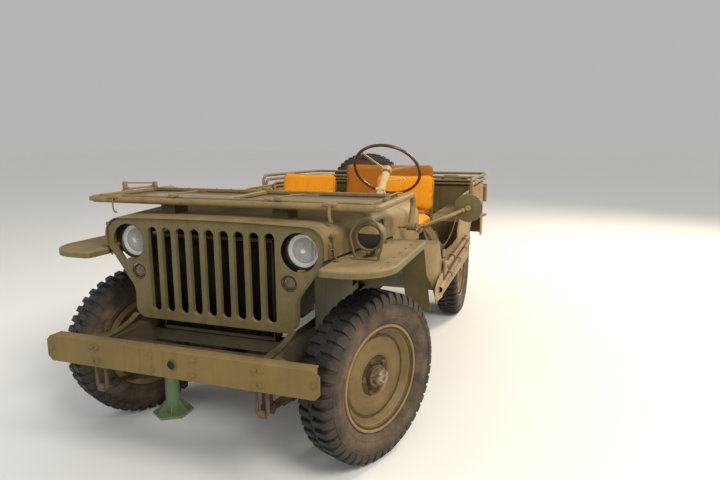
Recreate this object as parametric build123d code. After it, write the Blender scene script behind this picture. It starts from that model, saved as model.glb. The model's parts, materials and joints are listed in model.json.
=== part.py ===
from build123d import *
import math
import os

# Army 4x4 car with its windscreen folded on the hood, in millimetres.
# Modelled about its own centre plane: +X is the driver's (left) side, +Y the rear, +Z up,
# y = 0 midway between the axles and z = 0 on the ground. The placing at the end moves it so
# that the middle of its outer box stands on the origin.

# Running gear
wheelbase = 2032.0
track = 1226.0
tyre_radius = 356.0
tyre_half_width = 80.0
tread_half_width = 68.0
tread_floor = 341.0
lug_count = 20
lug_share = 0.56
bead_radius = 203.0
flange_radius = 222.0
rim_half_width = 62.0
flange_wall = 5.0
hub_hole_radius = 42.0
drum_radius = 127.0
kingpin_x = 505.0
ball_radius = 62.0
knuckle_wall = 12.0
axle_tube_radius = 32.0
diff_x = -170.0
diff_radius = 112.0
steer_at_rest = -23.0
arm_reach = 160.0
arm_splay = 22.0
pitman_reach = 145.0
bellcrank_x = 60.0
bellcrank_reach = 130.0
pitman_x = 215.0
pitman_y = -570.0
link_height = 419.0
link_radius = 10.0
pin_radius = 7.0
eye_bore = 24.0
eye_lift = 14.0

# Chassis
rail_outer = 372.0
rail_width = 45.0
rail_bottom = 465.0
rail_top = 558.0
rail_rear = 1560.0
bumper_front = -1550.0
bumper_half_length = 583.0
bumper_bottom = 466.0
bumper_top = 572.0
bumper_depth = 50.0
bumper_wall = 5.0
crank_hole_radius = 21.0
pintle_bore = 26.0
spring_x = 350.0
spring_width = 44.0
spring_half_chord = 460.0
spring_camber = 50.0
leaf_thickness = 7.0
leaf_count = 5

# Sheet metal
sheet = 4.0
grille_front = -1284.0
grille_half_width = 496.0
grille_waist_half = 371.0
grille_bottom = 583.0
grille_knee = 711.0
grille_shoulder = 885.0
grille_depth = 44.0
slot_count = 9
slot_pitch = 67.0
slot_width = 46.0
slot_bottom = 616.0
slot_top = 974.0
slot_flange = 14.0
lamp_x = 392.0
lamp_z = 905.0
lamp_hole_radius = 77.0
lamp_radius = 73.0
lamp_setback = 38.0
marker_x = 347.0
marker_z = 782.0
marker_hole_radius = 34.0
hood_front = -1292.0
hood_half_front = 502.0
hood_half_rear = 600.0
hood_top_front = 1016.0
hood_top_rear = 1024.0
hood_side_bottom = 884.0
hood_corner = 75.0
crown_angle = 2.0
firewall_y = -700.0
cowl_rear = -430.0
cowl_half_rear = 660.0
fender_top = 872.0
fender_lip = 26.0
fender_outer = 762.0
fender_front = -1385.0
apron_x = 392.0
skirt_bottom_y = -514.0
skirt_bottom_z = 482.0

# Tub
body_half = 775.0
body_bottom = 520.0
body_top = 982.0
body_rear = 1570.0
ledge_z = 828.0
sill_z = 708.0
door_rear_y = 300.0
floor_z = 562.0
arch_top = 762.0
arch_half = 350.0
wheelhouse_x = 472.0
wheelhouse_top = 772.0
wheelhouse_front = 575.0
toe_rear = -420.0
toe_top_z = 742.0

# Cabin
seat_x = 355.0
seat_half_width = 212.0
seat_top = 1098.0
seat_back_y = 512.0
cushion_z = 776.0
cushion_depth = 400.0
cushion_thickness = 60.0
rear_seat_half = 390.0
rear_seat_top = 1132.0
rear_seat_y = 1352.0
column_x = 332.0
wheel_hub_y = 121.0
wheel_hub_z = 1142.0
steering_radius = 214.0
column_angle = 41.7
column_radius = 20.0
shaft_radius = 9.0
mirror_x = 892.0
mirror_y = -321.0
mirror_z = 979.0
mirror_radius = 71.0
bow_x = 787.0
bow_y = 600.0
bow_rear = 1590.0
bow_z = 1060.0
bow_radius = 11.0

# Folded windscreen
screen_half = 668.0
screen_pivot_y = -650.0
screen_pivot_z = 922.0
screen_bend_y = -560.0
screen_plane_z = 1070.0
screen_top_y = -1196.0
screen_base_y = -785.0
screen_tube = 14.0
glass_thickness = 5.0

# Rear and stowage
spare_x = -300.0
spare_z = 850.0
spare_gap = 40.0
can_x = 470.0
stand_x = 436.0
stand_post_radius = 34.0
stand_foot_radius = 95.0

# Clearances
seat_gap = 0.3
bearing_gap = 0.3

# Values worked out from those above
front_axle_y = -wheelbase / 2
rear_axle_y = wheelbase / 2
half_track = track / 2
hub_z = tyre_radius
rail_front = bumper_front + bumper_wall
spare_y = body_rear + spare_gap + tyre_half_width
parts = {}


def block(x, y, z):
    """A box from three (low, high) pairs."""
    size = Box(x[1] - x[0], y[1] - y[0], z[1] - z[0])
    return Pos(sum(x) / 2, sum(y) / 2, sum(z) / 2) * size


def outline(rows):
    """A flat face from rows of (u, v, corner radius)."""
    points = [(u, v) for u, v, _ in rows]
    return make_face(FilletPolyline(*points, radius=[r for _, _, r in rows], close=True))


def plate_x(rows, x_low, x_high):
    """A plate across X from rows of (y, z, corner radius)."""
    side = Plane(origin=(x_low, 0, 0), x_dir=(0, 1, 0), z_dir=(1, 0, 0))
    return extrude(side * outline(rows), x_high - x_low)


def plate_y(rows, y_low, y_high):
    """A plate across Y from rows of (x, z, corner radius)."""
    front = Plane(origin=(0, y_high, 0), x_dir=(1, 0, 0), z_dir=(0, -1, 0))
    return extrude(front * outline(rows), y_high - y_low)


def plate_z(rows, z_low, z_high):
    """A plate across Z from rows of (x, y, corner radius)."""
    return extrude(Pos(0, 0, z_low) * outline(rows), z_high - z_low)


def rod(points, radius, bend=0.0):
    """A round rod along straight runs joined by tangent arcs."""
    path = FilletPolyline(*points, radius=bend) if len(points) > 2 else Line(*points)
    start = Plane(origin=path @ 0, z_dir=path % 0)
    return sweep(start * Circle(radius), path=path)


def round_x(x_low, x_high, y, z, radius):
    """A cylinder along X."""
    return Pos((x_low + x_high) / 2, y, z) * Rot(0, 90, 0) * Cylinder(radius, x_high - x_low)


def round_y(y_low, y_high, x, z, radius):
    """A cylinder along Y."""
    return Pos(x, (y_low + y_high) / 2, z) * Rot(90, 0, 0) * Cylinder(radius, y_high - y_low)


def round_z(z_low, z_high, x, y, radius):
    """A cylinder along Z."""
    return Pos(x, y, (z_low + z_high) / 2) * Cylinder(radius, z_high - z_low)


def turned(rows):
    """A body turned about the X axis from rows of (x, radius)."""
    half = Plane.XZ * make_face(Polyline(*rows, close=True))
    return revolve(half, Axis.X)


def mirrored(shape):
    """The same shape on the other side of the car."""
    return mirror(shape, about=Plane.YZ)


def turn_about(shape, x, y, degrees):
    """The shape turned about an upright line at (x, y)."""
    return Pos(x, y, 0) * Rot(0, 0, degrees) * Pos(-x, -y, 0) * shape


def hood_edges(half, top, corner, bottom):
    """The hood's section as (bottom right, arcs and lines): sides, round corners and crown."""
    slope = math.radians(crown_angle)
    inner = half - corner
    centre_z = top - corner - inner * math.tan(slope / 2)
    end_x = inner + corner * math.sin(slope)
    end_z = centre_z + corner * math.cos(slope)
    turn = (math.pi / 2 + slope) / 2
    mid = (inner + corner * math.sin(turn), centre_z + corner * math.cos(turn))
    right = [Line((half, bottom), (half, centre_z)), ThreePointArc((half, centre_z), mid, (end_x, end_z))]
    crown = ThreePointArc((end_x, end_z), (0, top), (-end_x, end_z))
    left = [ThreePointArc((-end_x, end_z), (-mid[0], mid[1]), (-half, centre_z)),
            Line((-half, centre_z), (-half, bottom))]
    return right + [crown] + left


def hood_section(half, top, y, bottom):
    """One thin section of the hood or the cowl, standing at y."""
    outer = hood_edges(half, top, hood_corner, bottom)
    inner = hood_edges(half - sheet, top - sheet, hood_corner - sheet, bottom)
    feet = [Line((side * half, bottom), (side * (half - sheet), bottom)) for side in (1, -1)]
    front = Plane(origin=(0, y, 0), x_dir=(1, 0, 0), z_dir=(0, -1, 0))
    return front * make_face(outer + inner + feet)


def cowl_half(y):
    """The cowl's half width at a place along the car."""
    return hood_half_rear + (cowl_half_rear - hood_half_rear) * (y - firewall_y) / (cowl_rear - firewall_y)


def above(shape, z):
    """The part of a shape over a level."""
    return shape - block((-900, 900), (-1900, 1900), (z - 100, z))


def skirt_y(z):
    """Where the splash panel behind the front wheel stands at a height."""
    share = (fender_top - z) / (fender_top - skirt_bottom_z)
    return firewall_y + share * (skirt_bottom_y - firewall_y)


# Wheels

wheel_rows = [  # (along the axle, outward; radius)
    (rim_half_width, flange_radius), (rim_half_width - flange_wall, flange_radius),
    (rim_half_width - flange_wall, bead_radius), (flange_wall - rim_half_width, bead_radius),
    (flange_wall - rim_half_width, flange_radius), (-rim_half_width, flange_radius),
    (-rim_half_width, 196), (0, 188), (8, 162), (22, 128), (20, 96), (4, 90), (4, hub_hole_radius),
    (12, hub_hole_radius), (12, 84), (24, 88), (29, 98), (32, 128), (25, 163), (20, 168), (20, 173),
    (44, 197), (58, 214)]
hub_rows = [
    (-50, 24), (-50, 40), (-12, 40), (-12, drum_radius - 10), (-58, drum_radius - 10),
    (-58, drum_radius), (-6, drum_radius), (-6, 82), (3.7, 82), (3.7, 40), (28, 40), (28, 33),
    (60, 33), (66, 27), (66, 0), (34, 0), (34, 24)]
kingpin_inset = kingpin_x - track / 2
ball_rows = [  # (outward from the kingpin, radius)
    (-60, 20), (-60, 34), (-48, 41), (-30, 55), (-10, ball_radius - 0.6), (5, ball_radius), (5, 0),
    (-60, 0)]
spindle_rows = [
    (kingpin_inset - 8, ball_radius + 4), (kingpin_inset - 8, ball_radius + 16),
    (kingpin_inset + 12, ball_radius + 15),
    (-72, 68), (-72, 76), (-66, 76), (-66, drum_radius - 14), (-61, drum_radius - 14), (-61, 30), (-54, 30),
    (-54, 24 - bearing_gap), (30, 24 - bearing_gap), (30, 0), (-72, 0), (-72, 51.5),
    (kingpin_inset + 27, 57),
    (kingpin_inset + 10, ball_radius + 4)]
diff_rows = [(-96, 0), (-96, 40), (-72, 84), (-34, diff_radius), (34, diff_radius), (72, 84), (96, 40),
             (96, 0)]


def tread_ring(first, low, high):
    """One side's tread: a ring of lugs across the tyre from x = low to x = high."""
    step = 360 / lug_count
    tip, foot = lug_share * step / 2, (lug_share + 0.06) * step / 2
    rows = [  # (radius, degrees from the lug's middle)
        (tread_floor, -foot), (tyre_radius, -tip), (tyre_radius, tip), (tread_floor, foot)]
    points = []
    for index in range(lug_count):
        for radius, away in rows:
            angle = math.radians(first + index * step + away)
            points.append((radius * math.sin(angle), -radius * math.cos(angle)))
    face = make_face(Polyline(*points, close=True)) - Circle(tread_floor - 20)
    return extrude(Plane(origin=(low, 0, 0), x_dir=(0, 1, 0), z_dir=(1, 0, 0)) * face, high - low)


def tyre_solid():
    """A tyre about X: beads in the rim, bulged sides and two staggered rings of lugs."""
    bead = rim_half_width - flange_wall - seat_gap
    inner = bead_radius + seat_gap
    rows = [  # (along the axle, radius)
        (bead, inner), (bead, flange_radius + 3), (tyre_half_width, 290),
        (tread_half_width + 2, tread_floor - 2)]
    carcass = turned(rows + [(-x, radius) for x, radius in reversed(rows)])
    carcass += tread_ring(0, 0, tread_half_width)
    return carcass + tread_ring(180 / lug_count, -tread_half_width, 0)


def add_wheels():
    tyre, disc, hub = tyre_solid(), turned(wheel_rows), turned(hub_rows)
    for name, sign, y in (("front_left", 1, front_axle_y), ("front_right", -1, front_axle_y),
                          ("rear_left", 1, rear_axle_y), ("rear_right", -1, rear_axle_y)):
        for kind, solid in (("tyre", tyre), ("wheel", disc), ("hub", hub)):
            placed = Pos(half_track, y, hub_z) * solid
            placed = placed if sign > 0 else mirrored(placed)
            if y == front_axle_y:
                placed = turn_about(placed, sign * kingpin_x, y, steer_at_rest)
            parts[f"{kind}_{name}"] = placed


def add_knuckles():
    """Steering knuckles: half a ball housing, pin bosses, brake plate, spindle and arm."""
    centre = Pos(kingpin_x, front_axle_y, hub_z)
    boss_low, boss_top = ball_radius + 6, ball_radius + 36
    knuckle = Pos(half_track, front_axle_y, hub_z) * turned(spindle_rows)
    for low, high in ((boss_low, boss_top), (-boss_top, -boss_low)):
        knuckle += centre * round_z(low, high, 0, 0, 24)
    for low, high in ((boss_low - 20, boss_top - 6), (6 - boss_top, 20 - boss_low)):
        knuckle -= centre * round_z(low, high, 0, 0, 12 + bearing_gap)
    pin_x, pin_y = kingpin_x + arm_splay, front_axle_y - arm_reach
    level = link_height - 22
    arm = plate_z([(kingpin_x - 22, front_axle_y - 62, 0), (kingpin_x + 26, front_axle_y - 62, 0),
                   (pin_x + 17, pin_y - 17, 14), (pin_x - 17, pin_y - 17, 14)], level, level + 14)
    arm += round_z(level, link_height + 12, pin_x, pin_y, pin_radius)
    knuckle += arm
    parts["knuckle_left"] = turn_about(knuckle, kingpin_x, front_axle_y, steer_at_rest)
    parts["knuckle_right"] = turn_about(mirrored(knuckle), -kingpin_x, front_axle_y, steer_at_rest)


def add_axles():
    """Axle tubes with the differential to the right of the middle."""
    for name, y, nose in (("front_axle", front_axle_y, 1), ("rear_axle", rear_axle_y, -1)):
        axle = Pos(diff_x, y, hub_z) * turned(diff_rows)
        nose_far = y + nose * 205
        axle += round_y(min(y, nose_far), max(y, nose_far), diff_x, hub_z, 48)
        if name == "front_axle":
            axle += round_x(10 - kingpin_x, kingpin_x - 10, y, hub_z, axle_tube_radius)
            for side in (1, -1):
                ball = Pos(kingpin_x, y, hub_z) * turned(ball_rows)
                axle += ball if side > 0 else mirrored(ball)
                axle += round_z(hub_z - ball_radius - 26, hub_z + ball_radius + 26, side * kingpin_x, y, 12)
        else:
            reach = half_track - 61
            axle += round_x(-reach, reach, y, hub_z, axle_tube_radius)
            for side in (1, -1):
                low, high = sorted((side * (reach - 5), side * reach))
                axle += round_x(low, high, y, hub_z, drum_radius - 14)
                low, high = sorted((side * reach, side * (half_track + 30)))
                axle += round_x(low, high, y, hub_z, 24 - bearing_gap)
        parts[name] = axle


def leaf(half_chord, low, depth):
    """One leaf in side view: an arc band, lowest in the middle."""
    rise = spring_camber * (half_chord / spring_half_chord) ** 2
    top = [(-half_chord, low + rise + depth), (0, low + depth), (half_chord, low + rise + depth)]
    bottom = [(half_chord, low + rise), (0, low), (-half_chord, low + rise)]
    edges = [ThreePointArc(*top), Line(top[2], bottom[0]), ThreePointArc(*bottom), Line(bottom[2], top[0])]
    return make_face(edges)


def add_springs():
    """Leaf springs under the axle tubes, with eyes, shackles and hangers on the rails."""
    side = Plane(origin=(0, 0, 0), x_dir=(0, 1, 0), z_dir=(1, 0, 0))
    pack_top = hub_z - axle_tube_radius
    springs = None
    for axle_y, shackle in ((front_axle_y, -1), (rear_axle_y, 1)):
        spring = None
        for index in range(leaf_count):
            half = spring_half_chord * (1 - 0.17 * index)
            low = pack_top - leaf_thickness * (index + 1)
            band = extrude(side * Pos(axle_y, 0) * leaf(half, low, leaf_thickness), spring_width)
            spring = band if spring is None else spring + band
        eye_z = pack_top + spring_camber
        for end in (-1, 1):
            spring += round_x(0, spring_width, axle_y + end * spring_half_chord, eye_z, 20)
        clamp = block((0, spring_width), (axle_y - 45, axle_y + 45), (pack_top - 44, pack_top - 30))
        spring += clamp
        shackle_y = axle_y + shackle * (spring_half_chord + 8)
        hanger_y = axle_y - shackle * spring_half_chord
        spring += block((6, spring_width - 6), (shackle_y - 12, shackle_y + 12), (eye_z, rail_bottom))
        spring += block((6, spring_width - 6), (hanger_y - 26, hanger_y + 26), (eye_z, rail_bottom))
        left = Pos(spring_x - spring_width / 2, 0, 0) * spring
        springs = springs + left + mirrored(left) if springs else left + mirrored(left)
    parts["springs"] = springs


def add_frame():
    """Two rails with tapered front horns, and the cross members between them."""
    side = [(rail_front, rail_bottom + 12, 0), (rail_front + 90, rail_bottom, 0),
            (rail_rear, rail_bottom, 0),
            (rail_rear, rail_top, 0), (rail_front, rail_top, 0)]
    horn = [(rail_outer, rail_front, 0), (rail_outer + 92, rail_front, 0),
            (rail_outer + 30, rail_front + 60, 60),
            (rail_outer, rail_front + 190, 0)]
    rail = plate_x(side, rail_outer - rail_width, rail_outer)
    rail += plate_z(horn, rail_top - 8, rail_top)
    inner = rail_outer - rail_width
    frame = rail + mirrored(rail)
    for y, half, low, high in ((-1440, 26, 486, 540), (-1200, 30, 470, 520), (-10, 28, 470, 500),
                               (180, 30, 470, 540), (780, 30, 470, 540), (rail_rear - 28, 28, 470, 552)):
        frame += block((-inner, inner), (y - half, y + half), (low, high))
    parts["chassis_frame"] = frame


def add_bumpers():
    """Channel front bumper; tow shackles, rear bumperettes and the tow pintle."""
    half, low, high, cut = bumper_half_length, bumper_bottom, bumper_top, 22
    rows = [(-half, low, 6), (half, low, 6), (half, high - cut, 4), (half - cut, high, 4),
            (cut - half, high, 4), (-half, high - cut, 4)]
    rear = bumper_front + bumper_depth
    channel = plate_y(rows, bumper_front, rear)
    wide = half + 5
    channel -= block((-wide, wide), (bumper_front + bumper_wall, rear + 1),
                     (low + bumper_wall, high - bumper_wall))
    channel -= round_y(bumper_front - 1, bumper_front + bumper_wall + 1, 0, (low + high) / 2,
                       crank_hole_radius)
    parts["front_bumper"] = channel
    shackle_z = bumper_bottom - 96
    loop = [(-22, 0, bumper_bottom), (-22, 0, shackle_z), (22, 0, shackle_z), (22, 0, bumper_bottom)]
    shackle = Pos(spring_x, bumper_front + 28, 0) * rod(loop, 7, 14)
    shackle += Pos(spring_x, bumper_front + 28, 0) * round_x(-13, 13, 0, shackle_z, 14)
    fittings = shackle + mirrored(shackle)
    for side in (1, -1):
        centre = side * 350
        hoop = plate_z([(centre - 75, rail_rear, 0), (centre + 75, rail_rear, 0),
                        (centre + 75, rail_rear + 110, 30),
                        (centre - 75, rail_rear + 110, 30)], 438, 488)
        hoop -= plate_z([(centre - 68, rail_rear + 7, 0), (centre + 68, rail_rear + 7, 0),
                         (centre + 68, rail_rear + 103, 23), (centre - 68, rail_rear + 103, 23)], 437, 489)
        fittings += hoop
    z = 506
    base = block((-45, 45), (rail_rear, rail_rear + 12), (z - 36, z + 36))
    base += round_y(rail_rear + 10, rail_rear + 60, 0, z, 20)
    jaw = round_x(-16, 16, rail_rear + 96, z, 48) - round_x(-17, 17, rail_rear + 96, z, pintle_bore)
    parts["tow_fittings"] = fittings + base + jaw


def add_power_train():
    """Plain block engine, radiator, transmission, propeller shafts and exhaust."""
    parts["engine_block"] = block((-150, 150), (-1130, -708), (480, 880)) + block((-60, 60), (-1060, -740),
                                                                                  (880, 930))
    parts["radiator"] = block((-262, 262), (grille_front + grille_depth, grille_front + 104), (530, 940))
    gearbox = block((-130, 130), (-708, -560), (440, 630)) + block((-90, 90), (-560, -250), (440, 552))
    gearbox += block((-250, 90), (-250, -60), (400, 548))
    z = 440
    shafts = rod([(diff_x, front_axle_y + 205, hub_z), (diff_x, -250, z)], 19)
    shafts += rod([(diff_x, -60, z), (diff_x, rear_axle_y - 205, hub_z)], 19)
    parts["drive_train"] = gearbox + (shafts - parts["front_axle"] - parts["rear_axle"])
    muffler = round_y(-330, 130, -480, 450, 62)
    pipe = rod([(-150, -760, 600), (-262, -760, 600), (-262, -760, 430), (-262, -420, 430),
                (-480, -420, 440),
                (-480, -330, 450)], 19, 40)
    tail = rod([(-480, 130, 450), (-480, 300, 450), (-700, 420, 440)], 17, 60)
    hanger = block((-500, -460), (-130, -90), (505, floor_z - sheet))
    parts["exhaust"] = muffler + tail + hanger


def add_front_metal():
    """Grille, hood, blocks on the hood, lamps and front fenders."""
    inset = 3.0
    half, top, corner = grille_half_width, hood_top_front - sheet - inset, hood_corner - sheet
    rows = hood_edges(half, top, corner, grille_shoulder)
    start = (half, grille_shoulder)
    lower = [start, (grille_waist_half, grille_knee), (grille_waist_half, grille_bottom),
             (-grille_waist_half, grille_bottom), (-grille_waist_half, grille_knee),
             (-half, grille_shoulder)]
    edge = FilletPolyline(*lower, radius=[70, 46, 46, 70])
    front = Plane(origin=(0, grille_front, 0), x_dir=(1, 0, 0), z_dir=(0, 1, 0))
    face = make_face(rows + [edge])
    standing = Plane(origin=(0, grille_front + grille_depth, 0), x_dir=(1, 0, 0), z_dir=(0, -1, 0))
    shell = extrude(standing * face, grille_depth)
    hollow = extrude(standing * offset(face, -sheet), grille_depth - sheet)
    grille = shell - hollow
    back = grille_front + sheet
    centre_z = (slot_bottom + slot_top) / 2
    for index in range(slot_count):
        x = (index - (slot_count - 1) / 2) * slot_pitch
        slot = SlotOverall(slot_top - slot_bottom, slot_width, rotation=90)
        ring = SlotOverall(slot_top - slot_bottom + 2 * 3, slot_width + 2 * 3, rotation=90)
        place = Plane(origin=(x, back + slot_flange, centre_z), x_dir=(1, 0, 0), z_dir=(0, -1, 0))
        grille += extrude(place * ring, slot_flange)
        grille -= extrude(place * slot, slot_flange + sheet + 1)
    for side in (1, -1):
        grille -= round_y(grille_front - 1, back + 1, side * lamp_x, lamp_z, lamp_hole_radius)
        grille -= round_y(grille_front - 1, back + 1, side * marker_x, marker_z, marker_hole_radius)
    parts["grille"] = grille
    hood = loft([hood_section(hood_half_front, hood_top_front, hood_front, hood_side_bottom),
                 hood_section(hood_half_rear, hood_top_rear, firewall_y, hood_side_bottom)], ruled=True)
    parts["hood"] = hood
    blocks = None
    for side in (1, -1):
        low = hood_top_front - 2
        piece = block((side * 265 - 34, side * 265 + 34), (-1180, -1090),
                      (low - 20, screen_plane_z - screen_tube - seat_gap))
        piece -= block((side * 265 - 40, side * 265 + 40), (-1200, -1070), (low - 40, low))
        blocks = piece if blocks is None else blocks + piece
    parts["hood_blocks"] = blocks - hood


def add_lamps():
    """Headlamps set back behind the grille, marker lamps, and the guarded blackout lamp."""
    face_y = grille_front + lamp_setback
    bowl_rows = [(0, lamp_radius), (-14, lamp_radius), (-60, 52), (-84, 26), (-84, 0), (-20, 0),
                 (-8, lamp_radius - 6), (0, lamp_radius - 6)]
    turn = Rot(0, 0, -90)
    bowls, lenses, markers = None, None, None
    for side in (1, -1):
        place = Pos(side * lamp_x, face_y, lamp_z) * turn
        bowl = place * turned(bowl_rows)
        foot = block((side * lamp_x - 12, side * lamp_x + 12), (grille_front + sheet, face_y + 30),
                     (lamp_z - lamp_radius - 14, lamp_z - lamp_radius + 12))
        foot -= place * turned([(60, 0), (60, lamp_radius - 1), (-14, lamp_radius - 1), (-60, 51),
                                (-60, 0)])
        bowl += foot
        lens = place * turned([(-7, lamp_radius - 7), (2, lamp_radius - 7), (9, 40), (11, 0), (6, 0),
                               (4, 40), (-2, lamp_radius - 14)])
        marker = round_y(grille_front + sheet, grille_front + 40, side * marker_x, marker_z,
                         marker_hole_radius + 6)
        bowls = bowl if bowls is None else bowls + bowl
        lenses = lens if lenses is None else lenses + lens
        markers = marker if markers is None else markers + marker
    parts["headlamps"] = bowls
    parts["lamp_lenses"] = lenses + markers
    x, y, z = 625, -1100, 955
    shell = Pos(x, y, z) * turn * turned([(44, 0), (44, 46), (50, 50), (50, 55), (30, 57), (-20, 52),
                                          (-52, 30), (-62, 0)])
    shell += round_z(fender_top, z - 40, x, y, 11) + round_z(fender_top, fender_top + 10, x, y, 26)
    hoop = rod([(x - 45, y - 78, fender_top + 4), (x - 70, y - 78, z + 10), (x, y - 78, z + 120),
                (x + 70, y - 78, z + 10),
                (x + 45, y - 78, fender_top + 4)], 5, 50)
    foot = block((x - 52, x + 52), (y - 88, y - 68), (fender_top, fender_top + 5))
    parts["blackout_lamp"] = shell + hoop + foot


def add_fenders():
    """Flat-topped front fender with turned-down lip, inner apron and splash skirt."""
    apron_front = grille_front + 140
    lamp_side = lamp_x + lamp_radius + 16
    rows = [(apron_x, firewall_y, 0), (apron_x, apron_front, 0), (lamp_side, apron_front, 0),
            (lamp_side, grille_front + grille_depth, 0),
            (grille_half_width + 6, grille_front + grille_depth, 0),
            (grille_half_width + 12, fender_front, 20),
            (fender_outer, fender_front, 165), (fender_outer, firewall_y, 40)]
    top = plate_z(rows, fender_top - fender_lip, fender_top)
    edges = [e for e in top.edges().filter_by_position(Axis.Z, fender_top - 0.1, fender_top + 0.1)
             if e.center().X > grille_half_width]
    top = fillet(edges, 9)
    inner = offset(outline(rows), -sheet)
    top -= Pos(0, 0, fender_top - fender_lip) * extrude(inner, fender_lip - sheet)
    apron = plate_x([(apron_front, rail_top, 0), (firewall_y, rail_top, 0),
                     (firewall_y, fender_top - sheet, 0),
                     (apron_front, fender_top - sheet, 0)], apron_x, apron_x + sheet)
    top_z = fender_top - sheet
    skirt = plate_x([(skirt_y(top_z) - sheet, top_z, 0),
                     (skirt_y(skirt_bottom_z) - sheet, skirt_bottom_z, 0),
                     (skirt_y(skirt_bottom_z), skirt_bottom_z, 0), (skirt_y(top_z), top_z, 0)],
                    cowl_half_rear - 38, fender_outer - 20)
    fender = top + apron + skirt
    fender -= parts["cowl"]
    parts["fender_left"] = fender
    parts["fender_right"] = mirrored(fender)


def add_tub():
    """Cowl, toe board and floor, sides with door cut and wheel arch, rear panel and wheelhouses."""
    cowl = loft([hood_section(hood_half_rear, hood_top_rear, firewall_y, ledge_z),
                 hood_section(cowl_half_rear, hood_top_rear + 2, cowl_rear, ledge_z)], ruled=True)
    parts["cowl"] = cowl
    gap = 1.0
    front_corner = min(110, body_half - cowl_half_rear - 5)
    strip = plate_z([(body_half - 62, body_rear, 0), (body_half, body_rear, 60),
                     (body_half, -640, front_corner),
                     (cowl_half_rear, -640, 0), (cowl_half_rear, -640 + sheet, 0),
                     (body_half - sheet, -640 + sheet, front_corner - sheet),
                     (body_half - sheet, body_rear - sheet, 56), (body_half - 62, body_rear - sheet, 0)],
                    body_bottom - 1, body_top + 1)
    arch_low, arch_high = rear_axle_y - arch_half, rear_axle_y + arch_half
    rows = [(skirt_y(ledge_z) + gap, ledge_z, 0), (-470, ledge_z, 60), (-400, sill_z, 70),
            (60, sill_z, 230),
            (door_rear_y, body_top, 50), (body_rear + 1, body_top, 0), (body_rear + 1, body_bottom + 24, 0),
            (arch_high + 40, body_bottom + 24, 12), (arch_high, arch_top, 110), (arch_low, arch_top, 110),
            (arch_low - 40, body_bottom, 12), (skirt_y(body_bottom) + gap, body_bottom, 0)]
    side = strip & plate_x(rows, cowl_half_rear - 30, body_half + 1)
    ledge = plate_z([(cowl_half_rear, -640 + sheet, 0),
                     (body_half - sheet, -640 + sheet, front_corner - sheet), (body_half - sheet, -470, 0),
                     (cowl_half_rear, -470, 0)], ledge_z - sheet, ledge_z)
    side += ledge & plate_x([(skirt_y(ledge_z) + gap, ledge_z - 10, 0), (-400, ledge_z - 10, 0),
                             (-400, ledge_z + 10, 0),
                             (skirt_y(ledge_z) + gap, ledge_z + 10, 0)], cowl_half_rear - 30, body_half + 1)
    parts["body_side_left"] = side
    parts["body_side_right"] = mirrored(side)
    inside = body_half - sheet
    floor = block((-inside, inside), (toe_rear, wheelhouse_front), (floor_z - sheet, floor_z))
    floor += block((-wheelhouse_x, wheelhouse_x), (wheelhouse_front, body_rear - sheet),
                   (floor_z - sheet, floor_z))
    toe = plate_x([(firewall_y, toe_top_z, 0), (firewall_y, toe_top_z - sheet, 0),
                   (toe_rear, floor_z - sheet, 0), (toe_rear, floor_z, 0)],
                  -cowl_half_rear + 40, cowl_half_rear - 40)
    wall = block((-hood_half_rear + 12, hood_half_rear - 12), (firewall_y, firewall_y + sheet),
                 (toe_top_z - sheet, hood_top_rear - 60))
    floor += toe + wall
    hole = column_body(column_radius + 3, 0, 1000)
    floor -= hole
    rear_half = body_half - 62
    rear = block((-rear_half, rear_half), (body_rear - sheet, body_rear), (body_bottom + 24, body_top))
    parts["rear_panel"] = rear
    house = plate_x([(wheelhouse_front, floor_z, 0), (body_rear - sheet, floor_z, 0),
                     (body_rear - sheet, wheelhouse_top, 0),
                     (wheelhouse_front, wheelhouse_top, 0)], wheelhouse_x, wheelhouse_x + sheet)
    house += block((wheelhouse_x, inside), (wheelhouse_front, body_rear - 62),
                   (wheelhouse_top - sheet, wheelhouse_top))
    house += block((wheelhouse_x, inside), (wheelhouse_front, wheelhouse_front + sheet),
                   (floor_z, wheelhouse_top))
    house += block((wheelhouse_x, body_half - 64), (body_rear - 62, body_rear - sheet),
                   (wheelhouse_top - sheet, wheelhouse_top))
    parts["floor_pan"] = floor + house + mirrored(house)


def column_point(distance):
    """A point on the steering column's line, measured down from the wheel's hub."""
    slope = math.radians(column_angle)
    return (column_x, wheel_hub_y - distance * math.cos(slope), wheel_hub_z - distance * math.sin(slope))


def column_body(radius, start, end):
    """A cylinder on the steering column's line."""
    return rod([column_point(start), column_point(end)], radius)


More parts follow.
